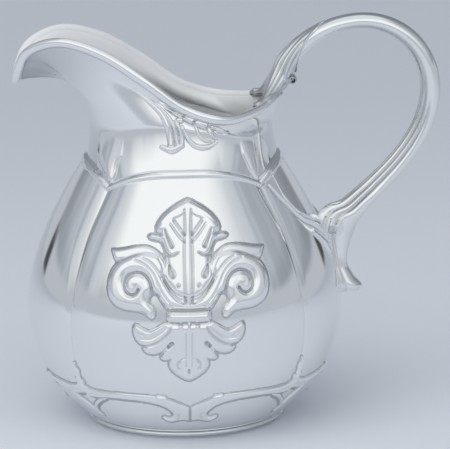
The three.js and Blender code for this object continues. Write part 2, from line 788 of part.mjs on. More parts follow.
// A half-round strand along a path drawn on a surface, reaching below it so that its back can be cut.
function strand(surface, outward, path, width, relief, segments = STRAND_SEGMENTS) {
  const stations = path.map(([a, b]) => point(a, b, 0));
  const curve = new THREE.CatmullRomCurve3(stations, false, "catmullrom");
  const onSurface = (t) => {
    const p = curve.getPoint(THREE.MathUtils.clamp(t, 0, 1));
    return { place: surface(p.x, p.y), normal: outward(p.x, p.y) };
  };
  const rings = [];
  for (let i = 0; i <= segments; i++) {
    const t = i / segments;
    const { place, normal } = onSurface(t);
    const along = onSurface(t + SMALL_SHARE).place.sub(onSurface(t - SMALL_SHARE).place).normalize();
    const side = new THREE.Vector3().crossVectors(along, normal).normalize();
    const taper = 1 - STRAND_TAPER * Math.abs(2 * t - 1) ** STRAND_BLUNTNESS;
    const onRing = (across, lift) =>
      place.clone().addScaledVector(side, across).addScaledVector(normal, lift);
    const half = (width / 2) * taper;
    const ring = [onRing(half, -SEAT_DEPTH)];
    for (let k = 0; k <= STRAND_SIDES; k++) {
      const turn = (Math.PI * k) / STRAND_SIDES;
      ring.push(onRing(half * Math.cos(turn), GAP + relief * taper * Math.sin(turn)));
    }
    ring.push(onRing(-half, -SEAT_DEPTH));
    rings.push(ring);
  }
  return solidOf(cappedLoft(rings));
}

function bulbStrandGeometry(path, width, relief, segments) {
  return geometryOf(strand(bulbPoint, bulbOutward, path, width, relief, segments).subtract(bulbRoom));
}

function degrees(path, hand = 1) {
  return path.map(([angle, height]) => [hand * angle * DEGREE, height]);
}

// Base scroll of the panel at angle 0: an ogee strand that dips to a point below the panel's middle.
function baseScrollGeometry() {
  const half = [
    [41.5, BASE_SCROLL_END],
    [36, BASE_SCROLL_ARCH],
    [21, BASE_SCROLL_ARCH],
    [10, BASE_SCROLL_SLOPE],
  ];
  const other = half.map(([angle, height]) => [-angle, height]).reverse();
  const path = degrees([...half, [0, BASE_SCROLL_DIP], ...other]);
  return bulbStrandGeometry(path, SCROLL_WIDTH, SCROLL_RELIEF);
}

// Corner bud: a short upright leaf over the valley between two panels.
function budGeometry() {
  const valley = QUARTER / 2;
  const path = [[valley, BUD_BOTTOM], [valley, (BUD_BOTTOM + BUD_TOP) / 2], [valley, BUD_TOP]];
  return bulbStrandGeometry(path, BUD_WIDTH, BUD_RELIEF, SHORT_STRAND_SEGMENTS);
}

// Vine from beside the handle's root along the bulb to the cusp, in shares of the way to the cusp; the
// hand is -1 for the front one and 1 for the back one.
function vineGeometry(hand) {
  const startAngle = Math.asin((HANDLE_ROOT_WIDTH / 2 + VINE_SETBACK) / handleRoot.x);
  const startHeight = rootHeight + VINE_START_RISE;
  const endAngle = VINE_END_ANGLE * DEGREE;
  const endHeight = cuspHeight - VINE_END_DROP;
  const way = [[0, 0], [0.36, 0.3], [0.72, 0.56], [0.92, 0.82], [1, 1]];
  const path = way.map(([round, rise]) => [
    hand * lerp(startAngle, endAngle, round),
    lerp(startHeight, endHeight, rise),
  ]);
  return bulbStrandGeometry(path, VINE_WIDTH, VINE_RELIEF, SHORT_STRAND_SEGMENTS);
}

// Neck scroll: one strand that leaves the rim by the spout and drops to a toe, and one that waves on
// towards the handle. Places are degrees round and shares of the way from collar to rim.
function neckScrollGeometry(hand) {
  const falling = degrees([[117, 0.74], [107, 0.7], [99, 0.62], [94, 0.46], [94, 0.24]], hand);
  const waving = degrees([[98, 0.66], [90, 0.64], [83, 0.44], [76, 0.27], [69, 0.36], [58, 0.5]], hand);
  const strands = [falling, waving].map((path) =>
    strand(neckPoint, neckOutward, path, SCROLL_WIDTH, SCROLL_RELIEF),
  );
  const neckRoom = solidOf(neckGeometry(GAP));
  return geometryOf(strands[0].add(strands[1]).subtract(neckRoom));
}

// Assembly

const pitcher = new THREE.Group();

function place(name, geometry, finish, turn = 0) {
  const mesh = new THREE.Mesh(geometry, new THREE.MeshStandardMaterial(finish));
  mesh.name = name;
  mesh.rotation.z = turn;
  pitcher.add(mesh);
}

place("base_disc", baseGeometry(), SATIN);
place("bulb", bulbGeometry(), POLISHED);
place("neck_spout", neckGeometry(), POLISHED);
place("rim_bead", rimTube(BEAD_RADIUS), POLISHED);
place("handle", handleGeometry(), POLISHED);
place("handle_leaf", leafGeometry(), SATIN);

place("root_vine_front", vineGeometry(-1), POLISHED);
place("root_vine_back", vineGeometry(1), POLISHED);
place("neck_scroll_front", neckScrollGeometry(-1), POLISHED);
place("neck_scroll_back", neckScrollGeometry(1), POLISHED);

const fleur = fleurGeometry();
place("fleur_front", fleur, POLISHED);
place("fleur_back", fleur, POLISHED, Math.PI);

const baseScroll = baseScrollGeometry();
const bud = budGeometry();
["handle_side", "back", "spout_side", "front"].forEach((side, i) => {
  place("base_scroll_" + side, baseScroll, POLISHED, i * QUARTER);
});
["back_right", "back_left", "front_left", "front_right"].forEach((corner, i) => {
  place("corner_bud_" + corner, bud, POLISHED, i * QUARTER);
});

export default pitcher;
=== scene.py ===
"""A polished aluminium pitcher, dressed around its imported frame.

Every shape is worked out in millimetres with numpy and turned into metres when its mesh is made. X points
to the handle, -X to the spout, -Y to the front panel and Z up. Angles start at the handle and go round by
the back, so the front panel is at -90 degrees.
"""
from types import SimpleNamespace

import bpy
import numpy as np
from mathutils import Matrix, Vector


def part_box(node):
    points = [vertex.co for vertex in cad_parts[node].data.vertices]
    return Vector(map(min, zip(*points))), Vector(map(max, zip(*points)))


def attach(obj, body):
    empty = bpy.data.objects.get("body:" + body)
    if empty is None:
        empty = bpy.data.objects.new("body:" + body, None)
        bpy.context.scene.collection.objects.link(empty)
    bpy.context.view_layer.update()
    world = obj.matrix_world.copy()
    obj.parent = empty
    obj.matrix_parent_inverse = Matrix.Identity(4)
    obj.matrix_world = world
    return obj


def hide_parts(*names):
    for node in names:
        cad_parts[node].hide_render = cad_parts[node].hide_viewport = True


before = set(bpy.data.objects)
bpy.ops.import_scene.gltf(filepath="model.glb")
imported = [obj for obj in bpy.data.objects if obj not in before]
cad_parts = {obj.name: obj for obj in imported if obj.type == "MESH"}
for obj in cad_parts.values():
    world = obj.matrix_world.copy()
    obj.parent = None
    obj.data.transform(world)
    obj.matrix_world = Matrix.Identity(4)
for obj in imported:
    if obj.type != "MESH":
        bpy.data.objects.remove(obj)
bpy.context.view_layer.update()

bl_info = {
    "name": "Polished Pitcher",
    "version": (1, 0, 0),
    "blender": (4, 5, 0),
    "location": "View3D > Sidebar > Pitcher",
    "description": "Builds a cast and polished aluminium pitcher from numpy surfaces",
    "category": "Add Mesh",
}

MM = 0.001
DEGREE = np.pi / 180
QUARTER = np.pi / 2
UP = np.array([0.0, 0.0, 1.0])
BODY = "root"
POLISHED = "polished_aluminium"
SATIN = "satin_aluminium"

BULB_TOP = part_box("bulb")[1]
DISC_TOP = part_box("base_disc")[1]


# Settings

def length(name, description, metres):
    """A length that a user can change."""
    return bpy.props.FloatProperty(
        name=name, description=description, default=metres, min=0, precision=4, unit="LENGTH"
    )


def number(name, description, default):
    """A plain number that a user can change."""
    return bpy.props.FloatProperty(name=name, description=description, default=default, min=0)


def colour(name, description, default):
    """A colour that a user can change."""
    return bpy.props.FloatVectorProperty(
        name=name, description=description, default=default, size=3, min=0, max=1, subtype="COLOR"
    )


class PitcherBody(bpy.types.PropertyGroup):
    """Sizes of the foot, the bulb and its collar"""

    foot_radius: length("Foot radius", "Outside of the foot bead", DISC_TOP.x)
    foot_thickness: length("Foot thickness", "Height of the foot bead", DISC_TOP.z)
    wall: length("Wall", "Thickness of the bulb and the neck", 3 * MM)
    belly_radius: length("Belly radius", "Widest place of a panel", BULB_TOP.x)
    belly_height: length("Belly height", "Height of the widest place", 67 * MM)
    shoulder_radius: length("Shoulder radius", "Radius under the collar", 54.5 * MM)
    shoulder_height: length("Shoulder height", "Top of the collar's arches", BULB_TOP.z)
    valley_at_belly: length("Valley at belly", "Draw-in between panels at the belly", 1.4 * MM)
    valley_at_shoulder: length("Valley at shoulder", "Draw-in between panels at the collar", 3 * MM)
    cusp_drop: length("Cusp drop", "How far the collar dips between its arches", 9.6 * MM)
    collar_height: length("Collar height", "Height of the collar's bead", 3.2 * MM)
    collar_rise: length("Collar rise", "How proud the collar's bead stands", 1.25 * MM)


class PitcherMouth(bpy.types.PropertyGroup):
    """Sizes of the neck, the spout and the rim"""

    bead_radius: length("Rim bead", "Radius of the bead round the mouth", 2.8 * MM)
    straight: length("Straight neck", "From the collar up to the throat", 20 * MM)
    tongue_rise: length("Tongue rise", "Height of the leaves over the cusps", 1.1 * MM)


class PitcherHandle(bpy.types.PropertyGroup):
    """Sizes of the handle and its leaf"""

    width: length("Handle width", "Handle's breadth across its loop", 13.5 * MM)
    root_width: length("Root width", "Breadth where it joins the bulb", 19 * MM)
    tail_width: length("Tail width", "Breadth of the flared tail", 16 * MM)
    flute_depth: length("Flute depth", "Depth of the grooves at the root", 1.3 * MM)
    leaf_edge: length("Leaf edge", "How proud the leaf's edge stands", 1.2 * MM)


class PitcherOrnament(bpy.types.PropertyGroup):
    """Relief heights of the applied castings"""

    fleur_relief: length("Fleur relief", "Height of the fleur's leaves", 2.6 * MM)
    scroll_relief: length("Scroll relief", "Height of the scrolls on neck and foot", 2.0 * MM)
    vine_relief: length("Vine relief", "Height of the strands at the root", 1.8 * MM)
    bud_relief: length("Bud relief", "Height of the corner buds", 2.2 * MM)


class PitcherFinish(bpy.types.PropertyGroup):
    """Colours and polish of the metal"""

    bright: colour("Bright metal", "Polished aluminium", (0.905, 0.91, 0.915))
    soft: colour("Satin metal", "Unbuffed aluminium", (0.80, 0.81, 0.82))
    # Colour that marked metal is blended towards: tarnish in the hollows and painted shade
    tarnish_and_shade_colour: colour("Hollows", "Metal that the buff doesn't reach", (0.45, 0.465, 0.48))
    polish: number("Polish", "Roughness of the buffed faces", 0.085)
    satin: number("Satin", "Roughness of the unbuffed faces", 0.17)


class PitcherStage(bpy.types.PropertyGroup):
    """Floor, room and light"""

    floor: colour("Floor", "Plain floor under the pitcher", (0.88, 0.905, 0.965))
    # Painted shade: the floor's colour darkens towards this tone away from the viewer, for the light's fall-off
    floor_far_shaded: colour("Floor far away", "Plain floor behind the pitcher", (0.70, 0.725, 0.775))
    room_front: colour("Room in front", "Walls on the viewer's side", (0.60, 0.64, 0.69))
    room_back: colour("Room behind", "Walls behind the pitcher", (0.24, 0.26, 0.29))
    horizon: colour("Horizon", "Where the floor meets the walls", (0.50, 0.53, 0.58))
    ceiling: colour("Ceiling", "Room above the pitcher", (0.74, 0.775, 0.82))
    softbox: colour("Softbox", "Large soft light above the viewer", (0.98, 1.0, 1.0))
    flag: colour("Dark boards", "Boards at the floor's far corners", (0.06, 0.065, 0.07))
    key_power: number("Key light", "Power of the lamp that casts the shadow in watts", 7.5)


class PitcherSettings(bpy.types.PropertyGroup):
    """All settings of the pitcher"""

    body: bpy.props.PointerProperty(type=PitcherBody)
    mouth: bpy.props.PointerProperty(type=PitcherMouth)
    handle: bpy.props.PointerProperty(type=PitcherHandle)
    ornament: bpy.props.PointerProperty(type=PitcherOrnament)
    finish: bpy.props.PointerProperty(type=PitcherFinish)
    stage: bpy.props.PointerProperty(type=PitcherStage)


def sizes(context):
    """All lengths of the settings in one place, in millimetres."""
    settings = context.scene.pitcher
    found = {}
    for group in (settings.body, settings.mouth, settings.handle, settings.ornament):
        for name in group.__annotations__:
            found[name] = getattr(group, name) / MM
    return SimpleNamespace(**found)


# Curves and small helpers

def mix(a, b, share):
    """Goes straight from a to b."""
    return a + (b - a) * share


def ease(share):
    """Goes from 0 to 1 with level ends."""
    share = np.clip(share, 0, 1)
    return share * share * (3 - 2 * share)


def fade_in(value, start, width):
    """Goes from 0 at a start to 1 a width further on, with level ends."""
    return ease((value - start) / width)


def between(value, opens, closes):
    """1 between two fades, each a start and a width, and 0 outside."""
    return fade_in(value, *opens) * (1 - fade_in(value, *closes))


def bump(value, middle, width):
    """A bell: e to the minus square of the distance from its middle in widths."""
    return np.exp(-(((value - middle) / width) ** 2))


def full_turn(sides):
    """Angles of a whole turn in equal steps."""
    return np.linspace(0, 2 * np.pi, sides, endpoint=False)


def unit(vectors):
    """Vectors of length 1."""
    return vectors / np.linalg.norm(vectors, axis=-1, keepdims=True)


def bezier(points, t):
    """Cubic curve from its first point to its fourth, pulled by the two between them."""
    a, b, c, d = (np.asarray(p, float) for p in points)
    t = np.asarray(t, float)[..., None]
    return a * (1 - t) ** 3 + 3 * b * t * (1 - t) ** 2 + 3 * c * t * t * (1 - t) + d * t**3


def spline(points, t, closed=False):
    """Smooth curve through points, each stretch an equal share of t, its knots spaced by root distance."""
    knots = np.asarray(points, float)
    if closed:
        row = np.concatenate([knots[-1:], knots, knots[:2]])
        stretches = len(knots)
        t = np.mod(t, 1)
    else:
        row = np.concatenate([2 * knots[:1] - knots[1:2], knots, 2 * knots[-1:] - knots[-2:-1]])
        stretches = len(knots) - 1
    place = np.clip(np.asarray(t, float), 0, 1) * stretches
    first = np.minimum(place.astype(int), stretches - 1)
    w = (place - first)[..., None]
    p0, p1, p2, p3 = (row[first + k] for k in range(4))
    d0, d1, d2 = (
        np.maximum(np.sum((b - a) ** 2, -1, keepdims=True), 1e-9) ** 0.25
        for a, b in ((p0, p1), (p1, p2), (p2, p3))
    )
    leave = d1 * ((p1 - p0) / d0 - (p2 - p0) / (d0 + d1)) + (p2 - p1)
    arrive = (p2 - p1) + d1 * ((p3 - p2) / d2 - (p3 - p1) / (d1 + d2))
    square = 3 * (p2 - p1) - 2 * leave - arrive
    cube = 2 * (p1 - p2) + leave + arrive
    return p1 + leave * w + square * w**2 + cube * w**3


def polar(angle, radius, height):
    """Points at an angle round the axis, a radius from it and a height."""
    angle, radius, height = np.broadcast_arrays(angle, radius, height)
    return np.stack([radius * np.cos(angle), radius * np.sin(angle), height], -1)


def across_slopes(surface, a, b, step_a, step_b):
    """Outward direction of a surface of two parameters, from its slopes over small steps."""
    over_a = surface(a + step_a, b) - surface(a - step_a, b)
    over_b = surface(a, b + step_b) - surface(a, b - step_b)
    return unit(np.cross(over_a, over_b))


def run_along(line):
    """Distance along a line of points from its first point to each."""
    return np.concatenate([[0], np.cumsum(np.linalg.norm(np.diff(line, axis=0), axis=1))])


# Meshes

def grid_faces(rows, columns, rows_closed=False, columns_closed=False):
    """Four-cornered faces of a grid of points, wrapped round where it is closed."""
    i = np.arange(rows if rows_closed else rows - 1)[:, None]
    j = np.arange(columns if columns_closed else columns - 1)[None, :]
    here, below = i * columns, (i + 1) % rows * columns
    right = (j + 1) % columns
    corners = [here + j, below + j, below + right, here + right]
    return np.stack([np.broadcast_to(c, (len(i), j.size)) for c in corners], -1).reshape(-1, 4)


def tube_shell(points):
    """Closed shell of rings of points from end to end, with a fan over each end."""
    rows, columns = points.shape[:2]
    sides = grid_faces(rows, columns, columns_closed=True)
    hubs = points[[0, -1]].mean(1)
    ring = np.arange(columns)
    last = (rows - 1) * columns
    near = np.stack([np.full(columns, rows * columns), ring, (ring + 1) % columns], -1)
    far = np.stack([np.full(columns, rows * columns + 1), last + (ring + 1) % columns, last + ring], -1)
    return np.concatenate([points.reshape(-1, 3), hubs]), [sides, near, far]


def ring_shell(points):
    """Closed shell of a grid that meets itself both ways."""
    rows, columns = points.shape[:2]
    return points.reshape(-1, 3), [grid_faces(rows, columns, True, True)]


def outward(points, faces):
    """The faces, turned round if the shell that they close has its inside out."""
    volume = 0.0
    for group in faces:
        for k in range(1, group.shape[1] - 1):
            a, b, c = points[group[:, 0]], points[group[:, k]], points[group[:, k + 1]]
            volume += np.einsum("ij,ij->", a, np.cross(b, c))
    return faces if volume > 0 else [group[:, ::-1] for group in faces]


def joined(shells):
    """Several closed shells as one."""
    points, faces, count = [], [], 0
    for shell_points, shell_faces in shells:
        faces += [group + count for group in outward(shell_points, shell_faces)]
        points.append(shell_points)
        count += len(shell_points)
    return np.concatenate(points), faces


def dress(context, name, shell, node, slot, tarnish_and_shade=None, brushed=None):
    """Makes the piece that stands for a node, with its finish; each point has a mark of tarnish and painted
    shade and a mark of brushing, 0 to 1.
    """
    points, faces = shell
    faces = outward(points, faces)
    mesh = bpy.data.meshes.new(name)
    mesh.from_pydata((points * MM).tolist(), [], [face for group in faces for face in group.tolist()])
    if not len(mesh.polygons):
        raise RuntimeError(f"{name} has no faces")
    mesh.shade_smooth()
    for mark, values in (("tarnish_and_shade", tarnish_and_shade), ("brushed", brushed)):
        if values is not None:
            marks = mesh.attributes.new(mark, "FLOAT", "POINT")
            marks.data.foreach_set("value", values.astype(np.float32))
    mesh.materials.append(metal(context, slot))
    piece = bpy.data.objects.new(name, mesh)
    context.scene.collection.objects.link(piece)
    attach(piece, BODY)
    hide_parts(node)


# Shader nodes

def node_of(tree, kind, **inputs):
    """A new node with some of its inputs set."""
    node = tree.nodes.new(kind)
    for name, value in inputs.items():
        node.inputs[name.replace("_", " ")].default_value = value
    return node


def feed(tree, value, socket):
    """Gives a socket a node's output, or else a number or colour of its own."""
    if isinstance(value, bpy.types.NodeSocket):
        tree.links.new(value, socket)
    else:
        socket.default_value = value


def maths(tree, operation, *values):
    """One operation on values, each a number or a node's output."""
    node = node_of(tree, "ShaderNodeMath")
    node.operation = operation
    for value, socket in zip(values, node.inputs):
        feed(tree, value, socket)
    return node.outputs["Value"]


def ramp(tree, source, low, high, most=1.0):
    """A smooth rise from 0 where the source has its low value to the most at its high value."""
    node = node_of(tree, "ShaderNodeMapRange", From_Min=low, From_Max=high, To_Max=most)
    node.interpolation_type = "SMOOTHSTEP"
    tree.links.new(source, node.inputs["Value"])
    return node.outputs["Result"]


def window(tree, source, opens, closes):
    """1 where the source lies between two values and 0 outside: one smooth rise times another."""
    return maths(tree, "MULTIPLY", ramp(tree, source, *opens), ramp(tree, source, *closes))


def blend(tree, share, first, second):
    """A colour between two others, each given as a colour or as a node's output."""
    node = node_of(tree, "ShaderNodeMix")
    node.data_type = "RGBA"
    tree.links.new(share, node.inputs["Factor"])
    for name, tone in (("A", first), ("B", second)):
        feed(tree, tone if isinstance(tone, bpy.types.NodeSocket) else (*tone, 1), node.inputs[name])
    return node.outputs["Result"]


def marked(tree, mark):
    """How far each point of a mesh has a mark, 0 to 1."""
    node = node_of(tree, "ShaderNodeAttribute")
    node.attribute_name = mark
    return node.outputs["Fac"]


# Metal

CLOUD = {"Scale": 22.0, "Detail": 2.0}
GRAIN = {"Scale": 900.0, "Detail": 3.0}
WAVES = {"Strength": 0.10, "Distance": 0.0012}
GRAIN_ROUGHNESS = (0.92, 1.1)
HOLLOW_ROUGHNESS = 0.3
BRUSHED_ROUGHNESS = 0.34
BRUSHED_METAL = 0.05


def metal(context, slot):
    """Buffed cast aluminium: wavy from the buff, finely scratched, duller and darker where marked: tarnish in
    the hollows the buff doesn't reach, and painted shade in creases, under the rim and along the handle.
    """
    name = slot + "_buffed"
    if name in bpy.data.materials:
        return bpy.data.materials[name]
    finish = context.scene.pitcher.finish
    clean, rough = (finish.bright, finish.polish) if slot == POLISHED else (finish.soft, finish.satin)
    material = bpy.data.materials.new(name)
    material.use_nodes = True
    tree = material.node_tree
    shader = tree.nodes["Principled BSDF"]
    place = node_of(tree, "ShaderNodeTexCoord").outputs["Object"]
    cloud, grain = (node_of(tree, "ShaderNodeTexNoise", **look) for look in (CLOUD, GRAIN))
    for texture in (cloud, grain):
        tree.links.new(place, texture.inputs["Vector"])
    tarnish_and_shade, brushed = marked(tree, "tarnish_and_shade"), marked(tree, "brushed")
    # Marked places blend towards the colour of tarnish and painted shade
    tree.links.new(blend(tree, tarnish_and_shade, clean, finish.tarnish_and_shade_colour), shader.inputs["Base Color"])

    low, high = GRAIN_ROUGHNESS
    dull = node_of(tree, "ShaderNodeMapRange", To_Min=rough * low, To_Max=rough * high)
    tree.links.new(grain.outputs["Fac"], dull.inputs["Value"])
    roughness = dull.outputs["Result"]
    for mark, more in ((tarnish_and_shade, HOLLOW_ROUGHNESS), (brushed, BRUSHED_ROUGHNESS)):
        roughness = maths(tree, "MULTIPLY_ADD", mark, more, roughness)
    tree.links.new(roughness, shader.inputs["Roughness"])

    bare = node_of(tree, "ShaderNodeMapRange", To_Min=1.0, To_Max=BRUSHED_METAL)
    tree.links.new(brushed, bare.inputs["Value"])
    tree.links.new(bare.outputs["Result"], shader.inputs["Metallic"])

    waves = node_of(tree, "ShaderNodeBump", **WAVES)
    tree.links.new(cloud.outputs["Fac"], waves.inputs["Height"])
    tree.links.new(waves.outputs["Normal"], shader.inputs["Normal"])
    return material


# Bulb

SEAM = 0.02
FOOT_STEP = 0.8
FOOT_FLARE = (17, 11)
BELLY_PULLS = (27, 28)
SHOULDER_PULL = (13.5, 21)
VALLEY_SHARPNESS = 5
CUSP_SHARPNESS = 2.6
COLLAR_STEP = 1.7
COLLAR_LIFT = 1.5
FLANGE_DEPTH = 8
PANEL_SPREAD = (2.8 * DEGREE, 1.0 * DEGREE)
PANEL_SPREAD_HEIGHTS = (112, 140)
CREASE_HEIGHTS = (20, 44, 70, 90, 108, 124, 140)
CREASE_DEPTHS = (0, 0.35, 0.45, 0.55, 0.7, 0.85, 1)
CREASE_BROAD_SIDE = (1.2, 1.3, 2, 2.8, 3.6, 4.6, 5.6)
CREASE_NARROW_SIDE = (1.2, 1.6, 3, 5, 8, 11, 13)
CREASE_SHARPNESS = 1.1
PANEL_COLUMNS = 128
PANEL_CROWDING = 0.72
OUTLINE_STEPS = 1200
LOWER_ROW_STEP = 26
# Rows are shares of a stretch; the upper and the collar's rows start a little past the row below them
UPPER_ROWS = np.linspace(0.012, 1, 76)[:, None]
COLLAR_ROWS = np.linspace(0.04, 1, 18)[:, None]
COLLAR_FULLNESS = 0.7
LEDGE_ROWS = np.linspace(0, 1, 5)[:, None]
LEDGE_STEP = 0.15
DROP_ROWS = np.linspace(0.3, 1, 3)[:, None]
INSIDE_ROWS = np.linspace(0, 1, 24)[:, None] ** 1.2
SLOPE_TURN = 0.5 * DEGREE
SLOPE_STEP = 0.3
FOOT_UNDERCUT = 1.8
FOOT_BEAD_SHARE = 0.66
FOOT_CHAMFER = 0.4
FOOT_BEAD_ROWS = 15
FOOT_SIDES = 256


def bulb_outline(size):
    """Radius and height along two cubic curves that meet upright at the belly."""
    foot = np.array([size.foot_radius - FOOT_STEP, size.foot_thickness + SEAM])
    belly = np.array([size.belly_radius, size.belly_height])
    shoulder = np.array([size.shoulder_radius, size.shoulder_height])
    t = np.linspace(0, 1, OUTLINE_STEPS)
    lower = bezier([foot, foot + FOOT_FLARE, belly - (0, BELLY_PULLS[0]), belly], t)
    pull = shoulder + (SHOULDER_PULL[0], -SHOULDER_PULL[1])
    upper = bezier([belly, belly + (0, BELLY_PULLS[1]), pull, shoulder], t)
    return np.concatenate([lower, upper[1:]])


def outline_radius(size, z):
    """Radius of a panel's middle at a height."""
    outline = bulb_outline(size)
    return np.interp(z, outline[:, 1], outline[:, 0])


def outline_run(size, z):
    """Distance along the outline from the foot up to a height."""
    outline = bulb_outline(size)
    return np.interp(z, outline[:, 1], run_along(outline))


def panel_spread(z):
    """How far the valleys stand off the quarters, so that front and back are wider than the sides."""
    low, high = PANEL_SPREAD_HEIGHTS
    return mix(*PANEL_SPREAD, ease((z - low) / (high - low)))


def panel_angle(angle, z):
    """The angle as if all four panels were alike."""
    return angle + panel_spread(z) * np.sin(2 * angle)


def true_angle(even, z):
    """The angle round the axis that a panel angle stands for."""
    return even - panel_spread(z) * np.sin(2 * even)


def across_panel(angle, z):
    """0 at a panel's middle and 1 at the valley beside it."""
    turns = panel_angle(angle, z) / QUARTER
    return np.abs(turns - np.round(turns)) * 2


def bulb_radius(size, angle, z):
    """The outline's radius less a valley between panels that deepens upwards."""
    foot = size.foot_thickness + SEAM
    low = np.clip((z - foot) / (size.belly_height - foot), 0, 1)
    high = np.clip((z - size.belly_height) / (size.shoulder_height - size.belly_height), 0, 1)
    depth = mix(size.valley_at_belly * low, size.valley_at_shoulder, high)
    return outline_radius(size, z) - depth * across_panel(angle, z) ** VALLEY_SHARPNESS


def bulb_point(size, angle, z):
    """Place on the bulb's plain outside."""
    return polar(angle, bulb_radius(size, angle, z), z)


def bulb_outward(size, angle, z):
    """Outward direction of the bulb's plain outside."""
    return across_slopes(lambda a, b: bulb_point(size, a, b), angle, z, SLOPE_TURN, SLOPE_STEP)


def panel_crease(size, angle, z):
    """Depth of the crisp crease along a valley: a V that is wide under the cusp, wider on the broad panels."""
    away = (1 - across_panel(angle, z)) * QUARTER / 2 * outline_radius(size, z)
    broad = np.abs(np.sin(panel_angle(angle, z))) > np.sin(QUARTER / 2)
    sides = [np.interp(z, CREASE_HEIGHTS, widths) for widths in (CREASE_BROAD_SIDE, CREASE_NARROW_SIDE)]
    width = np.where(broad, *np.broadcast_arrays(*sides))
    depth = np.interp(z, CREASE_HEIGHTS, CREASE_DEPTHS)
    return depth * np.clip(1 - away / width, 0, 1) ** CREASE_SHARPNESS


def collar_top(size, angle):
    """Height of the collar: a low arch over each panel and a cusp over each valley."""
    across = across_panel(angle, size.shoulder_height)
    return size.shoulder_height + COLLAR_LIFT - size.cusp_drop * across**CUSP_SHARPNESS


def neck_foot_radius(size, angle):
    """Outside of the neck where it stands on the collar."""
    return bulb_radius(size, angle, collar_top(size, angle)) - COLLAR_STEP


def panel_angles():
    """Angles all the way round, drawn together towards the valleys by a cosine."""
    even = np.linspace(-1, 1, PANEL_COLUMNS, endpoint=False)
    across = even + PANEL_CROWDING * np.sin(np.pi * even) / np.pi
    return (np.arange(4)[:, None] * QUARTER + across * QUARTER / 2).ravel()


def bulb_shell(size):
    """Rows from the foot up the outside, over the collar's half-round bead and ledge, and down inside."""
    even = panel_angles()[None, :]
    brow = true_angle(even, size.shoulder_height)
    top = collar_top(size, brow)
    low = bulb_outline(size)[:OUTLINE_STEPS:LOWER_ROW_STEP, 1][:, None] + 0 * even
    high = mix(size.belly_height, top - size.collar_height, UPPER_ROWS)
    z = np.concatenate([low, high])
    angle = true_angle(even, z)
    outside = polar(angle, bulb_radius(size, angle, z) - panel_crease(size, angle, z), z)

    z = top - size.collar_height * (1 - COLLAR_ROWS)
    swell = size.collar_rise * np.sin(np.pi * COLLAR_ROWS) ** COLLAR_FULLNESS
    cut = panel_crease(size, brow, z) * (1 - COLLAR_ROWS)
    collar = polar(brow, bulb_radius(size, brow, z) + swell - cut, z)

    edge = bulb_radius(size, brow, top)
    throat = neck_foot_radius(size, brow) - size.wall
    ledge = polar(brow, mix(edge - LEDGE_STEP, throat, LEDGE_ROWS), top - SEAM)
    drop = polar(brow, throat, top - size.wall * DROP_ROWS)

    z = mix(top - FLANGE_DEPTH, size.foot_thickness + SEAM, INSIDE_ROWS)
    angle = true_angle(even, z)
    slope = (outline_radius(size, z + SLOPE_STEP) - outline_radius(size, z - SLOPE_STEP)) / (2 * SLOPE_STEP)
    inside = polar(angle, bulb_radius(size, angle, z) - size.wall * np.hypot(1, slope), z)
    rows = [outside, collar, ledge, drop, inside]
    brushed = [np.full(part.shape[:2], float(part is inside)) for part in rows]
    return ring_shell(np.concatenate(rows)), np.concatenate(brushed).ravel()


def foot_shell(size):
    """A disc with a half-round bead over a small undercut, carried round the axis."""
    half = size.foot_thickness * FOOT_BEAD_SHARE / 2
    turn = np.linspace(-QUARTER, QUARTER, FOOT_BEAD_ROWS)
    step = size.foot_radius - FOOT_UNDERCUT
    low = size.foot_thickness - 2 * half
    bead = size.foot_radius - half + half * np.cos(turn)
    bead_height = low + half + half * np.sin(turn)
    radius = np.concatenate([[half, step - FOOT_CHAMFER, step, step], bead, [half]])
    height = np.concatenate([[0, 0, FOOT_CHAMFER, low], bead_height, [size.foot_thickness]])
    return tube_shell(polar(full_turn(FOOT_SIDES)[None, :], radius[:, None], height[:, None]))


# Mouth

RIM_STATIONS = [
    (54.5, 0, 34),
    (40, 25.5, 28),
    (20.5, 41.5, 26.5),
    (0, 41.3, 33.2),
    (-21, 39.5, 48.5),
    (-43, 32.3, 62.2),
    (-66, 23.3, 68.3),
    (-84.5, 11.8, 61),
    (-90.9, 0, 44.5),
]
RIM_FLARE = 0.42
RIM_PULLS = (9, 25)
RIM_PULL_FALL = 0.7
RIM_EVENING = ((-16, 0.1), (-8, 0.25), (0, 0.3), (8, 0.25), (16, 0.1))
RIM_SEAT = 1.2
RIM_SHADE = 0.7
RIM_SHADE_FADE = (0.94, 0.04)
RIM_FLUSH = 0.1
RIM_UNDERSIDE = 63 * DEGREE
RIM_UNDERSIDE_FADE = (0.65, 0.25)
RIM_INSIDE_FADE = 3
RIM_SLOPE_STEP = 0.2 * DEGREE
RIM_SIDES = 28
SPOUT_DROOP = 37 * DEGREE
SPOUT_FOCUS = 8
NECK_PULL_UP = 25
NECK_SIDE_PULL = 0.16
NECK_LEAST_PULL = 0.2
NECK_STRAIGHT_SHARE = 0.3
NECK_COVE = (0.5, 0.3)
NECK_SLOPE_STEPS = (0.4 * DEGREE, 0.004)
NECK_ROWS = np.linspace(0, 1, 110)[:, None]
NECK_INSIDE_ROWS = np.linspace(1, 0, 48)[:, None]
THROAT_RADII = (50.6, 45.2)
THROAT_ROOM = 9
THROAT_BLEND = 3
THROAT_PULL = 0.2
THROAT_LIFT = 5
TONGUE_TURNS = (1 * DEGREE, 8 * DEGREE)
TONGUE_HEIGHTS = (0, 0.2, 0.5, 0.8, 1.15)
TONGUE_HALF_WIDTHS = (0.6, 3.8, 6.4, 6.2, 5)
TONGUE_LENGTH = 30
TONGUE_BROADER = 1.8
TONGUE_STEP = 0.7
TONGUE_EDGE = 0.8
TONGUE_POINT = (-0.08, 0.2)
TONGUE_FADE = (0.3, 0.65)
SPOUT_DARKENING = (0.45, 0.45)
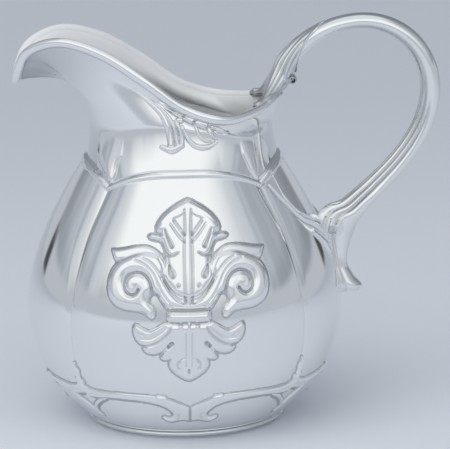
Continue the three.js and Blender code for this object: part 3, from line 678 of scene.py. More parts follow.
SPOUT_DARKENING_FADE = (0.5, 0.4)
SPOUT_FLANKS = (0.125, 0.625)


def rim_line(size, angle):
    """The rim's centre line: the stations and their mirror image as one closed curve."""
    back = np.array(RIM_STATIONS, float) + (0, 0, size.shoulder_height)
    front = back[-2:0:-1] * (1, -1, 1)
    return spline(np.concatenate([back, front]), angle / (2 * np.pi), closed=True)


def spout_share(angle):
    """1 at the spout's tip, fading to 0 at the sides."""
    return np.maximum(0, -np.cos(angle)) ** SPOUT_FOCUS


def rim_frame(size, angle):
    """The rim's centre, the way out of the wall's edge and the way across the wall."""
    centre = rim_line(size, angle)
    along = unit(rim_line(size, angle + RIM_SLOPE_STEP) - rim_line(size, angle - RIM_SLOPE_STEP))
    aside = unit(np.stack([along[..., 1], -along[..., 0], 0 * along[..., 0]], -1))
    tip = np.array([-np.cos(SPOUT_DROOP), 0, -np.sin(SPOUT_DROOP)])
    flare = mix(UP + RIM_FLARE * aside, tip, spout_share(angle)[..., None])
    flare = unit(flare - along * np.sum(flare * along, -1, keepdims=True))
    return centre, flare, unit(np.cross(along, flare))


def neck_ends(size, angle):
    """The neck's end at the rim, its throat's height, the room between them and its pull along the lip."""
    centre, flare, side = rim_frame(size, angle)
    end = centre - flare * RIM_SEAT + side * size.wall / 2
    lift = THROAT_LIFT * ease(0.5 - np.cos(angle)) * np.sin(angle) ** 2
    level = size.shoulder_height + size.straight + lift
    low_rim = end[..., 2] - THROAT_ROOM
    height = (level + low_rim - np.hypot(level - low_rim, THROAT_BLEND)) / 2
    room = np.clip((end[..., 2] - height) / NECK_PULL_UP, NECK_LEAST_PULL, 1)[..., None]
    pull = mix(RIM_PULLS[0] * room**RIM_PULL_FALL, RIM_PULLS[1], spout_share(angle)[..., None])
    return end, height, room, flare * pull


def neck_point(size, angle, share):
    """From the collar in a cove to an oval throat, then a cubic curve that meets the flaring rim."""
    end, height, room, _ = neck_ends(size, angle)
    pull = sum(weight * neck_ends(size, angle + turn * DEGREE)[3] for turn, weight in RIM_EVENING)
    foot = polar(angle, neck_foot_radius(size, angle), collar_top(size, angle))
    throat = polar(angle, mix(*THROAT_RADII, np.sin(angle) ** 2), height)
    lift = UP * NECK_PULL_UP * room * mix(NECK_SIDE_PULL, 1, spout_share(angle)[..., None])
    low = np.clip(share / NECK_STRAIGHT_SHARE, 0, 1)
    high = np.clip((share - NECK_STRAIGHT_SHARE) / (1 - NECK_STRAIGHT_SHARE), 0, 1)
    rise = (throat - foot)[..., 2:] * UP
    cove = mix(foot, throat - rise, NECK_COVE[0]) + rise * NECK_COVE[1]
    stem = bezier([foot, cove, throat - rise * THROAT_PULL, throat], low)
    flared = bezier([throat, throat + lift, end - pull, end], high)
    return np.where((share < NECK_STRAIGHT_SHARE)[..., None], stem, flared)


def neck_outward(size, angle, share):
    """Outward direction of the neck's plain outside."""
    turn, step = NECK_SLOPE_STEPS
    inner = np.clip(share, step, 1 - step)
    return across_slopes(lambda a, b: neck_point(size, a, b), angle, inner, turn, step)


def tongue_rise(size, angle, z):
    """A flat leaf over each cusp, pointed at the collar, with a crisp step and a lip along its edges."""
    turns = panel_angle(angle, size.shoulder_height) / QUARTER - 0.5
    from_valley = (turns - np.round(turns)) * QUARTER
    by_spout = np.cos(angle) < 0
    lean = np.where(by_spout, TONGUE_TURNS[1], -TONGUE_TURNS[0]) * np.sign(np.sin(angle))
    cusp = size.shoulder_height + COLLAR_LIFT - size.cusp_drop
    up = (z - cusp) / TONGUE_LENGTH
    spread = ease(up * 2)
    away = np.abs(from_valley - lean * spread) * neck_foot_radius(size, 0.0)
    half = np.interp(up, TONGUE_HEIGHTS, TONGUE_HALF_WIDTHS)
    half = np.where(by_spout, half * mix(1, TONGUE_BROADER, spread), half)
    crown = size.tongue_rise * (1 - np.minimum(away / half, 1) ** 2)
    step = TONGUE_STEP * ease((half - away) / TONGUE_EDGE)
    return (crown + step) * between(up, TONGUE_POINT, TONGUE_FADE)


def mouth_angles(size):
    """Angles round the mouth, drawn together over the valleys."""
    return true_angle(panel_angles()[None, :], size.shoulder_height)


def neck_shell(size):
    """Rows up the outside with the tongues on it, and down the brushed inside at the wall's thickness."""
    angle = mouth_angles(size)
    skin = neck_point(size, angle, NECK_ROWS)
    rise = tongue_rise(size, angle, skin[..., 2])
    outside = skin + neck_outward(size, angle, NECK_ROWS) * rise[..., None]
    inside = neck_point(size, angle, NECK_INSIDE_ROWS) - neck_outward(size, angle, NECK_INSIDE_ROWS) * size.wall
    # Darker on the spout's flanks and tip, fading in towards the rim
    flanks = SPOUT_DARKENING[0] * fade_in(-np.cos(angle), *SPOUT_FLANKS)
    dull = (flanks + SPOUT_DARKENING[1] * spout_share(angle)) * fade_in(NECK_ROWS, *SPOUT_DARKENING_FADE)
    # Painted shadow on the neck just under the rim bead
    dull = np.maximum(dull, RIM_SHADE * fade_in(NECK_ROWS, *RIM_SHADE_FADE))
    dull = np.concatenate([dull, np.zeros(inside.shape[:2])])
    brushed = np.concatenate([np.zeros(outside.shape[:2]), np.ones(inside.shape[:2])])
    return ring_shell(np.concatenate([outside, inside])), dull.ravel(), brushed.ravel()


def rim_shell(size):
    """A round section along the rim's centre line, flat on the inside, with painted shade below and brushed
    inside.
    """
    turn = full_turn(RIM_SIDES)[:, None, None]
    centre, flare, side = rim_frame(size, mouth_angles(size))
    reach = np.where(np.cos(turn) < 0, size.wall / 2 + RIM_FLUSH, size.bead_radius)
    points = centre + side * reach * np.cos(turn) + flare * size.bead_radius * np.sin(turn)
    # Painted shade on the bead's underside
    below = RIM_SHADE * fade_in(np.cos(turn[..., 0] + RIM_UNDERSIDE), *RIM_UNDERSIDE_FADE)
    inside = ease(-RIM_INSIDE_FADE * np.cos(turn[..., 0]))
    dull, brushed = (np.broadcast_to(mark, points.shape[:2]).ravel() for mark in (below, inside))
    return ring_shell(points), dull, brushed


# Handle

HANDLE_CURVES = [
    [(52, 184), (56, 199), (72, 222.1), (101, 222.1)],
    [(101, 222.1), (122, 222.1), (138.8, 205.1), (138.8, 184)],
    [(138.8, 184), (138.8, 154), (110.6, 130), (76.6, 103)],
]
HANDLE_DEPTHS = (10, 8.8, 11.2, 11.6, 15)
LOOP_SHARE = 0.84
LOOP_KNOTS = 24
TAIL_OUTSIDE = [
    (104.1, 116.8), (100.5, 112.1), (97.6, 108), (95.6, 103), (93.8, 98), (92.4, 93), (91.6, 88), (92.2, 83.4),
    (94, 80), (96.2, 76.6), (98.8, 73.9), (100, 72), (98.8, 69.9),
]
TAIL_INSIDE = [
    (95.6, 126.9), (88, 121), (80.5, 118.3), (75.5, 113), (74.5, 104), (77, 96), (80, 89), (81.5, 83.5),
    (82.3, 79.8), (82.5, 76.6), (82.5, 73.6), (82.5, 71.4), (82.5, 69.4),
]
TAIL_WAIST = 9.6
TAIL_STATIONS = (0.4, 0.85)
TAIL_END_SHARE = 0.86
FLUTES = (97 * DEGREE, 126 * DEGREE)
FLUTE_WIDTH = 7.5 * DEGREE
FLUTE_STARTS = (0.36, 0.25)
FLUTE_ENDS = (0.68, 0.1)
FLUTE_LOSS = 0.7
FLUTE_SHADE = 0.8
HANDLE_SKEW = 0.55
SKEW_EVENING = 0.2
SKEW_FADES = ((0.3, 0.25), (0.78, 0.1))
INNER_EDGE = 112 * DEGREE
INNER_EDGE_WIDTHS = (8 * DEGREE, 6 * DEGREE)
INNER_SHADE = (0.35, 0.45)
INNER_FADES = ((0.12, 0.1), (0.46, 0.12))
OUTER_WIDTH = 30 * DEGREE
OUTER_SHADE = 0.6
OUTER_FADE = (0.14, 0.1)
HANDLE_SIDES = 96
HANDLE_ROWS = 280
BREADTH_STEPS = 400
LOOP_STEPS = 300
LOOP_SLOPE_STEP = 0.004


def loop_line(share):
    """Places on the loop's centre line, a chain of cubic curves, at shares of its length."""
    t = np.linspace(0, 1, LOOP_STEPS)
    line = np.concatenate([bezier(curve, t) for curve in HANDLE_CURVES])
    run = run_along(line)
    return np.stack([np.interp(share, run / run[-1], line[:, k]) for k in (0, 1)], -1)


def handle_loop(share):
    """Outer and inner edge of the loop at shares of its length: its centre line and depth."""
    centre = loop_line(share)
    behind, ahead = (loop_line(np.clip(share + step, 0, 1)) for step in (-LOOP_SLOPE_STEP, LOOP_SLOPE_STEP))
    along = unit(ahead - behind)
    outside = np.stack([-along[..., 1], along[..., 0]], -1)
    depth = spline(np.array(HANDLE_DEPTHS, float)[:, None], share)
    return centre + outside * depth / 2, centre - outside * depth / 2


def handle_edges(size, share):
    """Outer edge, inner edge and breadth of the whole handle, loop and tail, at shares of its stations."""
    outer, inner = handle_loop(np.linspace(0, LOOP_SHARE, LOOP_KNOTS))
    outer = np.concatenate([outer, TAIL_OUTSIDE])
    inner = np.concatenate([inner, TAIL_INSIDE])
    knots = np.linspace(0, 1, len(outer))
    root = knots[LOOP_KNOTS]
    stations = [0, 0.5 * root, root, *(mix(root, 1, station) for station in TAIL_STATIONS), 1]
    tail_end = TAIL_END_SHARE * size.tail_width
    breadths = [size.width, size.width, size.root_width, TAIL_WAIST, size.tail_width, tail_end]
    breadth = spline(np.stack([stations, breadths], -1), np.linspace(0, 1, BREADTH_STEPS))
    return spline(outer, share), spline(inner, share), np.interp(share, breadth[:, 0], breadth[:, 1])


def handle_section(edges, turn, grow=0.0, skew=0.0):
    """Oval between an outer and an inner edge, grown by a margin and skewed to be broadest outwards."""
    outer, inner, breadth = edges
    middle = (outer + inner) / 2
    half = (outer - inner) / 2
    reach = np.linalg.norm(half, axis=-1)
    scale = (1 + grow / reach) * np.cos(turn)
    plane = middle + half * scale[..., None]
    y = (breadth / 2 + grow) * np.sin(turn) * (1 + skew * np.cos(turn)) / (1 + SKEW_EVENING * skew)
    return np.stack([plane[..., 0], y, plane[..., 1]], -1)


def handle_shell(size):
    """The oval section carried along loop and tail, with flutes along its sides that deepen to the root."""
    share = np.linspace(0, 1, HANDLE_ROWS)[:, None]
    turn = np.linspace(-np.pi, np.pi, HANDLE_SIDES, endpoint=False)[None, :]
    share, turn = np.broadcast_arrays(share, turn)
    beside = np.abs(turn)
    grooves = sum(bump(beside, flute, FLUTE_WIDTH) for flute in FLUTES)
    cut = grooves * fade_in(share, *FLUTE_STARTS) * (1 - FLUTE_LOSS * fade_in(share, *FLUTE_ENDS))
    skew = HANDLE_SKEW * between(share, *SKEW_FADES)
    shell = tube_shell(handle_section(handle_edges(size, share), turn, -size.flute_depth * cut, skew))
    # Painted shade: darker along the handle's inner side, along its outer edge and in its flutes
    broad, narrow = INNER_EDGE_WIDTHS
    inner = INNER_SHADE[0] * fade_in(beside, INNER_EDGE, broad)
    inner = (inner + INNER_SHADE[1] * bump(beside, INNER_EDGE, narrow)) * between(share, *INNER_FADES)
    outer = OUTER_SHADE * bump(turn, 0, OUTER_WIDTH) * fade_in(share, *OUTER_FADE)
    tarnish_and_shade = np.maximum(np.maximum(inner, outer), FLUTE_SHADE * cut)
    return shell, np.append(tarnish_and_shade.ravel(), [0, 0])


# Leaf round the handle's upper end

LEAF_START = 0.005
LEAF_REACHES = (0.052, 0.152)
LEAF_VEINS = (44, 78, 112, 146)
LEAF_VEIN_WIDTH = 8
LEAF_VEIN_SWEEP = 62
LEAF_VEIN_DEPTH = 0.95
LEAF_VEIN_FADES = (3, 6)
LEAF_VEIN_END = 0.95
LEAF_VEIN_SHADE = 0.55
LEAF_SCALLOPS = (7, 0.02)
LEAF_SWELL = 0.8
LEAF_FLUSH = 0.75
LEAF_FLUSH_FADE = (0.3, 0.6)
LEAF_ROLL = 1.1
LEAF_ROLL_PLACE = (0.96, 0.035)
LEAF_SIDES = 180
LEAF_ROWS = 130
LEAF_INSIDE_STEP = 6
LEAF_LET_IN = 0.4
LEAF_BACK_SHADE = 0.5
LEAF_BACK_FADE = (0.3, 0.2)
LEAF_FOOT_REACH = (5, 21)
LEAF_FOOT_LEAN = 2.6
LEAF_FOOT_LIFT = 1.2
LEAF_FOOT_SLOPE = 0.42
LEAF_FOOT_SHARE = 0.34
LEAF_FOOT_STEPS = 200
LEAF_FLANKS = (0.0625, 0.625)
LEAF_FOOT_SHADE = (0.5, 1)
LEAF_FOOT_SHADE_FADE = (0.12, 0.2)
LEAF_FOOT_DARKEST = 0.9
BORDER_RADIUS = 1.5
BORDER_LIFT = 1.4
BORDER_ENDS = 0.9 * np.pi
BORDER_LUMPS = (11, 0.16)
BORDER_ROWS = 160
BORDER_SIDES = 20
HEEL_LINE = [(50, 188), (53.5, 189.8), (57, 190.6), (61.5, 190.4)]
HEEL_HEIGHTS = (1.4, 4.0, 3.8, 1.9)
HEEL_HALF_WIDTHS = (3.5, 8.6, 8.6, 6.4)
HEEL_SHADE = 0.5
HEEL_STEPS = 40
CURL_PLACE = (62, 0, 190.4)
CURL_RADII = (1.7, 0.9)
CURL_HALF_WIDTH = 7
CURL_ROWS = 48
CURL_SIDES = 24


def leaf_foot(size, turn):
    """The leaf's foot: an oval bent along the end of the rim and sloping down into the mouth."""
    y = LEAF_FOOT_REACH[1] * np.sin(turn)
    rim = rim_line(size, np.linspace(-QUARTER / 2, QUARTER / 2, LEAF_FOOT_STEPS))
    x, z = (np.interp(y, rim[:, 1], rim[:, k]) for k in (0, 2))
    inwards = LEAF_FOOT_LEAN + LEAF_FOOT_REACH[0] * np.cos(turn)
    return np.stack([x - inwards, y, z + LEAF_FOOT_LIFT - LEAF_FOOT_SLOPE * inwards], -1)


def leaf_shell(size):
    """A sleeve round the handle, long outside and short inside, spread along the rim, with a rolled edge."""
    turn = np.linspace(-np.pi, np.pi, LEAF_SIDES, endpoint=False)[None, :]
    part, turn = np.broadcast_arrays(np.linspace(0, 1, LEAF_ROWS)[:, None], turn)
    outside = (1 + np.cos(turn)) / 2
    scallops, depth = LEAF_SCALLOPS
    reach = mix(*LEAF_REACHES, outside) * (1 + depth * np.cos(scallops * turn))
    share = mix(LEAF_START, reach, part)
    lane = np.abs(turn) / DEGREE + LEAF_VEIN_SWEEP * part
    veins = sum(bump(lane, vein, LEAF_VEIN_WIDTH) for vein in LEAF_VEINS)
    veins = veins * ease(part * LEAF_VEIN_FADES[0]) * ease((LEAF_VEIN_END - part) * LEAF_VEIN_FADES[1])
    flush = 1 - LEAF_FLUSH * outside**2 * fade_in(part, *LEAF_FLUSH_FADE)
    grow = (size.leaf_edge + LEAF_SWELL * (1 - part)) * flush - LEAF_VEIN_DEPTH * veins * flush
    grow = grow + LEAF_ROLL * (1 - outside**2) * bump(part, *LEAF_ROLL_PLACE)
    onto = ease(part / LEAF_FOOT_SHARE)[..., None]
    skin = mix(leaf_foot(size, turn), handle_section(handle_edges(size, share), turn, grow), onto)
    under = handle_section(handle_edges(size, share[::-1]), turn, -LEAF_LET_IN + 0 * part)

    # Painted shade: darker at the leaf's foot by the rim, in its veins and on its back towards the handle's
    # inner side
    flank = fade_in(np.abs(np.sin(turn)), *LEAF_FLANKS)
    foot = LEAF_FOOT_DARKEST * mix(*LEAF_FOOT_SHADE, flank) * (1 - fade_in(part, *LEAF_FOOT_SHADE_FADE))
    rough = np.maximum(foot, LEAF_VEIN_SHADE * veins)
    start, width = LEAF_BACK_FADE
    rough = np.maximum(rough, LEAF_BACK_SHADE * ease((start - outside) / width))
    rough = np.concatenate([rough, 0 * part[::LEAF_INSIDE_STEP]])
    return ring_shell(np.concatenate([skin, under[::LEAF_INSIDE_STEP]])), rough.ravel()


def border_shell(size):
    """The rolled border along the leaf's foot, a lumpy round section along the oval on both sides."""
    along = np.linspace(-BORDER_ENDS, BORDER_ENDS, BORDER_ROWS)
    centre = leaf_foot(size, along) + UP * BORDER_LIFT
    ahead = unit(np.gradient(centre, axis=0))
    aside = unit(np.cross(ahead, UP))
    over = np.cross(aside, ahead)
    lumps, swell = BORDER_LUMPS
    thick = BORDER_RADIUS * np.abs(np.sin(along)) ** 0.5 * (1 + swell * np.cos(lumps * along))
    turn = full_turn(BORDER_SIDES)[None, :, None]
    section = aside[:, None] * np.cos(turn) + over[:, None] * np.sin(turn)
    return tube_shell(centre[:, None] + thick[:, None, None] * section)


def heel_shell():
    """The leaf's swollen heel: an oval section along a short line through the handle towards the curl."""
    along = np.linspace(0, 1, HEEL_STEPS)
    line = spline(HEEL_LINE, along)[:, None]
    measures = np.array([HEEL_HEIGHTS, HEEL_HALF_WIDTHS], float)[..., None]
    tall, wide = (spline(measure, along) for measure in measures)
    turn = full_turn(HEEL_STEPS)[None, :]
    points = [line[..., 0] + 0 * turn, wide * np.cos(turn), line[..., 1] + tall * np.sin(turn)]
    return tube_shell(np.stack(points, -1))


def curl_shell():
    """The leaf's heel rolled up: a ring whose section is stretched across the handle."""
    around = full_turn(CURL_ROWS)[:, None]
    turn = full_turn(CURL_SIDES)[None, :]
    radius = CURL_RADII[0] + CURL_RADII[1] * np.cos(turn)
    y = CURL_HALF_WIDTH * np.sin(turn) + 0 * around
    return ring_shell(np.stack([radius * np.cos(around), y, radius * np.sin(around)], -1) + CURL_PLACE)


# Relief drawn on a surface

BELOW = -0.35
BACK = -0.7
FAR = 99.0
TINY = 1e-12
PATH_STEPS = 8
PATH_MARGIN = 2.5
OUTLINE_CORNERS = 6
OUTLINE_MARGIN = 2
THIN_RIDGE = 0.25
TOUCH_PASSES = 3
# Tarnish and painted shade at the foot of each relief and in its hollows
EDGE_TARNISH_AND_SHADE = 0.85
EDGE_HEIGHT = 1.0
THINNEST = 0.25
# A thin skirt just over the surface carries that tarnish and painted shade; some rows more below a relief give
# painted shadow
SKIRT_FALL = 1.0
SKIRT_HEIGHT = 0.05
SHADOW_SKIRT_ROWS = 3
FILLET = 0.03
HOLLOW_TARNISH_AND_SHADE = 0.8
HOLLOW_DEPTHS = (0.12, 0.9)
NARROW_HOLLOWS = 3
WIDE_HOLLOWS = 4


def near_to(u, v, line, margin):
    """Which places lie in a line's box with a margin round it, and those places."""
    low, high = line.min(0) - margin, line.max(0) + margin
    near = (u > low[0]) & (u < high[0]) & (v > low[1]) & (v < high[1])
    return near, np.stack([u[near], v[near]], -1)


def to_stretch(place, a, b):
    """Distance from each place to a straight stretch, and how far along it the nearest point lies."""
    step = b - a
    share = np.clip((place - a) @ step / max(step @ step, TINY), 0, 1)
    return np.hypot(*(place - a - share[:, None] * step).T), share


def along_path(u, v, path, widths):
    """Distance from each place to a smooth path, and the path's half width at the nearest point."""
    t = np.linspace(0, 1, PATH_STEPS * len(path))
    line = spline(path, t)
    half = np.interp(t, np.linspace(0, 1, len(widths)), widths)
    near, place = near_to(u, v, line, PATH_MARGIN * half.max())
    nearest, width = np.full(len(place), FAR), np.full(len(place), half[0])
    for a, b, wide, wider in zip(line[:-1], line[1:], half[:-1], half[1:]):
        away, share = to_stretch(place, a, b)
        closer = away < nearest
        nearest[closer] = away[closer]
        width[closer] = mix(wide, wider, share[closer])
    far, wide = np.full(u.shape, FAR), np.full(u.shape, half[0])
    far[near], wide[near] = nearest, width
    return far, wide


def ridge(u, v, path, widths, height, fullness=2.2):
    """A rounded strand along a path: height x (1 - (distance / half width) ^ fullness), falling on outside."""
    away, half = along_path(u, v, path, widths)
    share = away / half
    height = height * np.minimum(1, mix(THIN_RIDGE, 1, half / np.median(widths)))
    crown = height * (1 - np.minimum(share, 1) ** fullness)
    return crown - fullness * height / half * np.maximum(0, away - half)


def groove(u, v, path, widths, depth):
    """A trough along a path: depth x (1 - (distance / half width) squared)."""
    away, half = along_path(u, v, path, widths)
    return depth * np.maximum(0, 1 - (away / half) ** 2)


def pillow(u, v, outline, height, edge, fullness=2.0):
    """A plateau inside a smooth outline that rounds off over the width of its edge and falls on outside."""
    count = OUTLINE_CORNERS * len(outline)
    corners = spline(outline, np.arange(count) / count, closed=True)
    near, place = near_to(u, v, corners, OUTLINE_MARGIN)
    nearest = np.full(len(place), FAR)
    inside = np.zeros(len(place), bool)
    for a, b in zip(corners, np.roll(corners, -1, axis=0)):
        step = b - a
        nearest = np.minimum(nearest, to_stretch(place, a, b)[0])
        crosses = (a[1] > place[:, 1]) != (b[1] > place[:, 1])
        level = np.where(crosses, (place[:, 1] - a[1]) / np.where(step[1] == 0, TINY, step[1]), 0)
        inside ^= crosses & (place[:, 0] < a[0] + level * step[0])
    depth = np.where(inside, nearest, -nearest)
    crown = height * (1 - np.clip(1 - depth / edge, 0, 1) ** fullness)
    relief = np.full(u.shape, -FAR)
    relief[near] = np.where(inside, crown, fullness * height / edge * depth)
    return relief


def both_sides(half):
    """A closed outline from its right half, drawn from the top down."""
    return half + [(-x, y) for x, y in half[::-1] if x > 0]


def carved(relief, grooves):
    """A relief less its grooves, which never cut right through it."""
    return np.where(relief > THINNEST, np.maximum(relief - grooves, THINNEST), relief)


def softened(relief, passes):
    """A relief averaged with its neighbours a few times, as a casting rounds its pattern's edges."""
    relief = np.maximum(relief, -2 * SKIRT_FALL)
    for _ in range(passes):
        beside = sum(np.roll(relief, step, axis) for step in (1, -1) for axis in (0, 1))
        relief = relief / 2 + beside / 8
    return relief


def with_shade_skirt(relief, lower=0):
    """A relief with a thin skirt round its foot that carries tarnish and painted shade, wider by some rows
    below it for painted shadow.
    """
    near = np.maximum(relief, np.roll(relief, -lower, axis=0)) > -SKIRT_FALL
    return np.where(near, np.maximum(relief, SKIRT_HEIGHT), relief)


def raised(*reliefs):
    """The higher of several reliefs everywhere, with a small fillet where they meet."""
    whole = reliefs[0]
    for relief in reliefs[1:]:
        whole = (whole + relief + np.sqrt((whole - relief) ** 2 + FILLET)) / 2
    return whole


def tarnish_and_shade_in_hollows(relief, reach):
    """0 to 1, tarnish and painted shade: how far each place lies below those around it, or how near to the foot
    of the relief's edge.
    """
    high = np.maximum(relief, 0)
    steps = (-reach, 0, reach)
    shifts = [(down, right) for down in steps for right in steps if down or right]
    around = sum(np.roll(high, shift, (0, 1)) for shift in shifts) / len(shifts)
    least, span = HOLLOW_DEPTHS
    sunk = HOLLOW_TARNISH_AND_SHADE * np.clip((around - high - least) / span, 0, 1)
    return np.maximum(sunk, EDGE_TARNISH_AND_SHADE * (1 - ease(high / EDGE_HEIGHT)))


def relief_shell(base, normal, relief):
    """The part of a grid where the relief stands above the surface, with a back under it and walls round it."""
    rows, columns = relief.shape
    high = relief > BELOW
    keep = high[:-1, :-1] & high[1:, :-1] & high[:-1, 1:] & high[1:, 1:]
    for _ in range(TOUCH_PASSES):
        a, b, c, d = keep[:-1, :-1], keep[1:, 1:], keep[1:, :-1], keep[:-1, 1:]
        touch = (a & b & ~c & ~d) | (c & d & ~a & ~b)
        keep[:-1, :-1] |= touch
        keep[1:, :-1] |= touch
    i, j = np.nonzero(keep)
    corner = i * columns + j
    front = np.stack([corner, corner + columns, corner + columns + 1, corner + 1], -1)
    under = rows * columns
    faces = [front, front[:, ::-1] + under]
    wide = np.pad(keep, 1)
    sides = [(-1, 0, 3, 0), (0, 1, 2, 3), (1, 0, 1, 2), (0, -1, 0, 1)]
    for down, right, start, end in sides:
        open_side = keep & ~wide[1 + down : rows + down, 1 + right : columns + right]
        edge = front[open_side[i, j]]
        a, b = edge[:, start], edge[:, end]
        faces.append(np.stack([b, a, a + under, b + under], -1))
    top = base + normal * np.maximum(relief, 2 * BELOW)[..., None]
    bottom = base + normal * BACK
    points = np.concatenate([top.reshape(-1, 3), bottom.reshape(-1, 3)])
    used, index = np.unique(np.concatenate([f.ravel() for f in faces]), return_inverse=True)
    return (points[used], [index.reshape(-1, 4)]), used % under


def relief_on_bulb(size, angle, z, relief, reach):
    """A relief on the bulb's outside with tarnish and painted shade in its hollows, looked for within a reach
    in steps of its grid.
    """
    shell, used = relief_shell(bulb_point(size, angle, z), bulb_outward(size, angle, z), relief)
    return shell, tarnish_and_shade_in_hollows(relief, reach).ravel()[used]


def turned(shell, quarters):
    """A shell turned round the axis by quarter turns."""
    points, faces = shell
    angle = quarters * QUARTER
    turn = np.array([[np.cos(angle), np.sin(angle), 0], [-np.sin(angle), np.cos(angle), 0], [0, 0, 1]])
    return points @ turn, faces


def mirrored(shell):
    """A shell on the other side of the handle's plane."""
    points, faces = shell
    return points * (1, -1, 1), faces


# Fleur-de-lis

FLEUR_BAR_HEIGHT = 77
FLEUR_STEP = 0.33
FLEUR_SOFTNESS = 3
FLEUR_FIELD = (47, -38, 62)
FLEUR_DRAWN_RELIEF = 2.6
FLEUR_TILT = 0.016
FLEUR_LEAF = [
    (0, 60), (5, 58), (10, 55), (14, 51.5), (16.8, 47.8), (17.5, 45.3), (16.8, 43), (15.5, 42.3), (18, 42.6),
    (20.3, 42.4), (21.6, 41.3), (20.8, 39.9), (18, 39), (15.2, 38.4), (13.6, 36), (12.6, 32.5), (12.4, 28),
    (14.4, 22.4), (13.6, 18.6), (11.6, 15.2), (8.4, 11.6), (4.6, 9), (0, 8),
]
FLEUR_PANE = [(1.5, 53.4), (4, 51.6), (8.6, 49.4), (7.2, 46.4), (4.6, 42.8), (1.6, 40.6)]
FLEUR_LEDGE = [
    (13.6, 31.2), (16.6, 34.6), (21, 36.6), (28, 36.4), (34, 35), (38, 34.2), (41.2, 33.6), (40.6, 31),
    (38.9, 27.8), (30, 29), (22, 29),
]
FLEUR_SCROLL = [
    (12.6, 30.4), (15.6, 33), (21, 34.2), (27, 33.4), (33, 31), (37.5, 28.2), (41.8, 22.5), (43.6, 15.5),
    (43, 9.5), (40.3, 5.6), (35, 3.2), (28, 2.6), (24, 1.6), (21.5, -0.4), (19.6, -1.2), (18.2, 0.2),
    (17.7, 3), (18.6, 5.5), (20.6, 8.2), (19.9, 11), (17.6, 11.6), (15.6, 9), (13.6, 6), (11.9, 4.2), (8, 4),
    (0, 3.6), (-4, 3.6), (-4, 9.4), (0, 8.8), (3.4, 9.6), (6.5, 12), (9.4, 15.6), (11.4, 20), (10.8, 26),
]
FLEUR_FOOT = [
    (0, -2), (9, -2), (11.5, -1.8), (15.5, -4), (20, -7.2), (23.5, -7.2), (26.5, -5), (28.8, -3.6), (30, -5.5),
    (30, -9), (28.8, -12.5), (26.5, -15), (25, -15.8), (25, -17.5), (23, -20), (19, -20.8), (15.5, -20),
    (14.8, -20.5), (15.6, -22.3), (14, -24), (11.8, -24), (11, -24.6), (11, -27), (9.3, -30.2), (5, -34),
    (0, -36.3),
]
FLEUR_BAR = [(0, 4.1), (9, 4.1), (11.6, 3.4), (12.2, 0.4), (11.6, -2.6), (9, -3.3), (0, -3.3)]
# Each form: its outline, height and rounded edge
FLEUR_FORMS = [
    (both_sides(FLEUR_LEAF), 2.8, 4.6),
    (FLEUR_LEDGE, 1.7, 2.2),
    (FLEUR_SCROLL, 3.4, 4.6),
    (both_sides(FLEUR_FOOT), 2.6, 4),
    (both_sides(FLEUR_BAR), 4.3, 3.6),
]
FLEUR_PANE_EDGE = 1.6
FLEUR_PANE_DEPTH = 0.7
FLEUR_VOLUTE = [
    (19.9, 9), (19.7, 14), (20.8, 19.2), (24, 22.4), (28, 22.9), (32.2, 20.8), (34, 16.8), (33.2, 13.2),
    (30.7, 11.5), (28.2, 12.2), (26.4, 14.2),
]
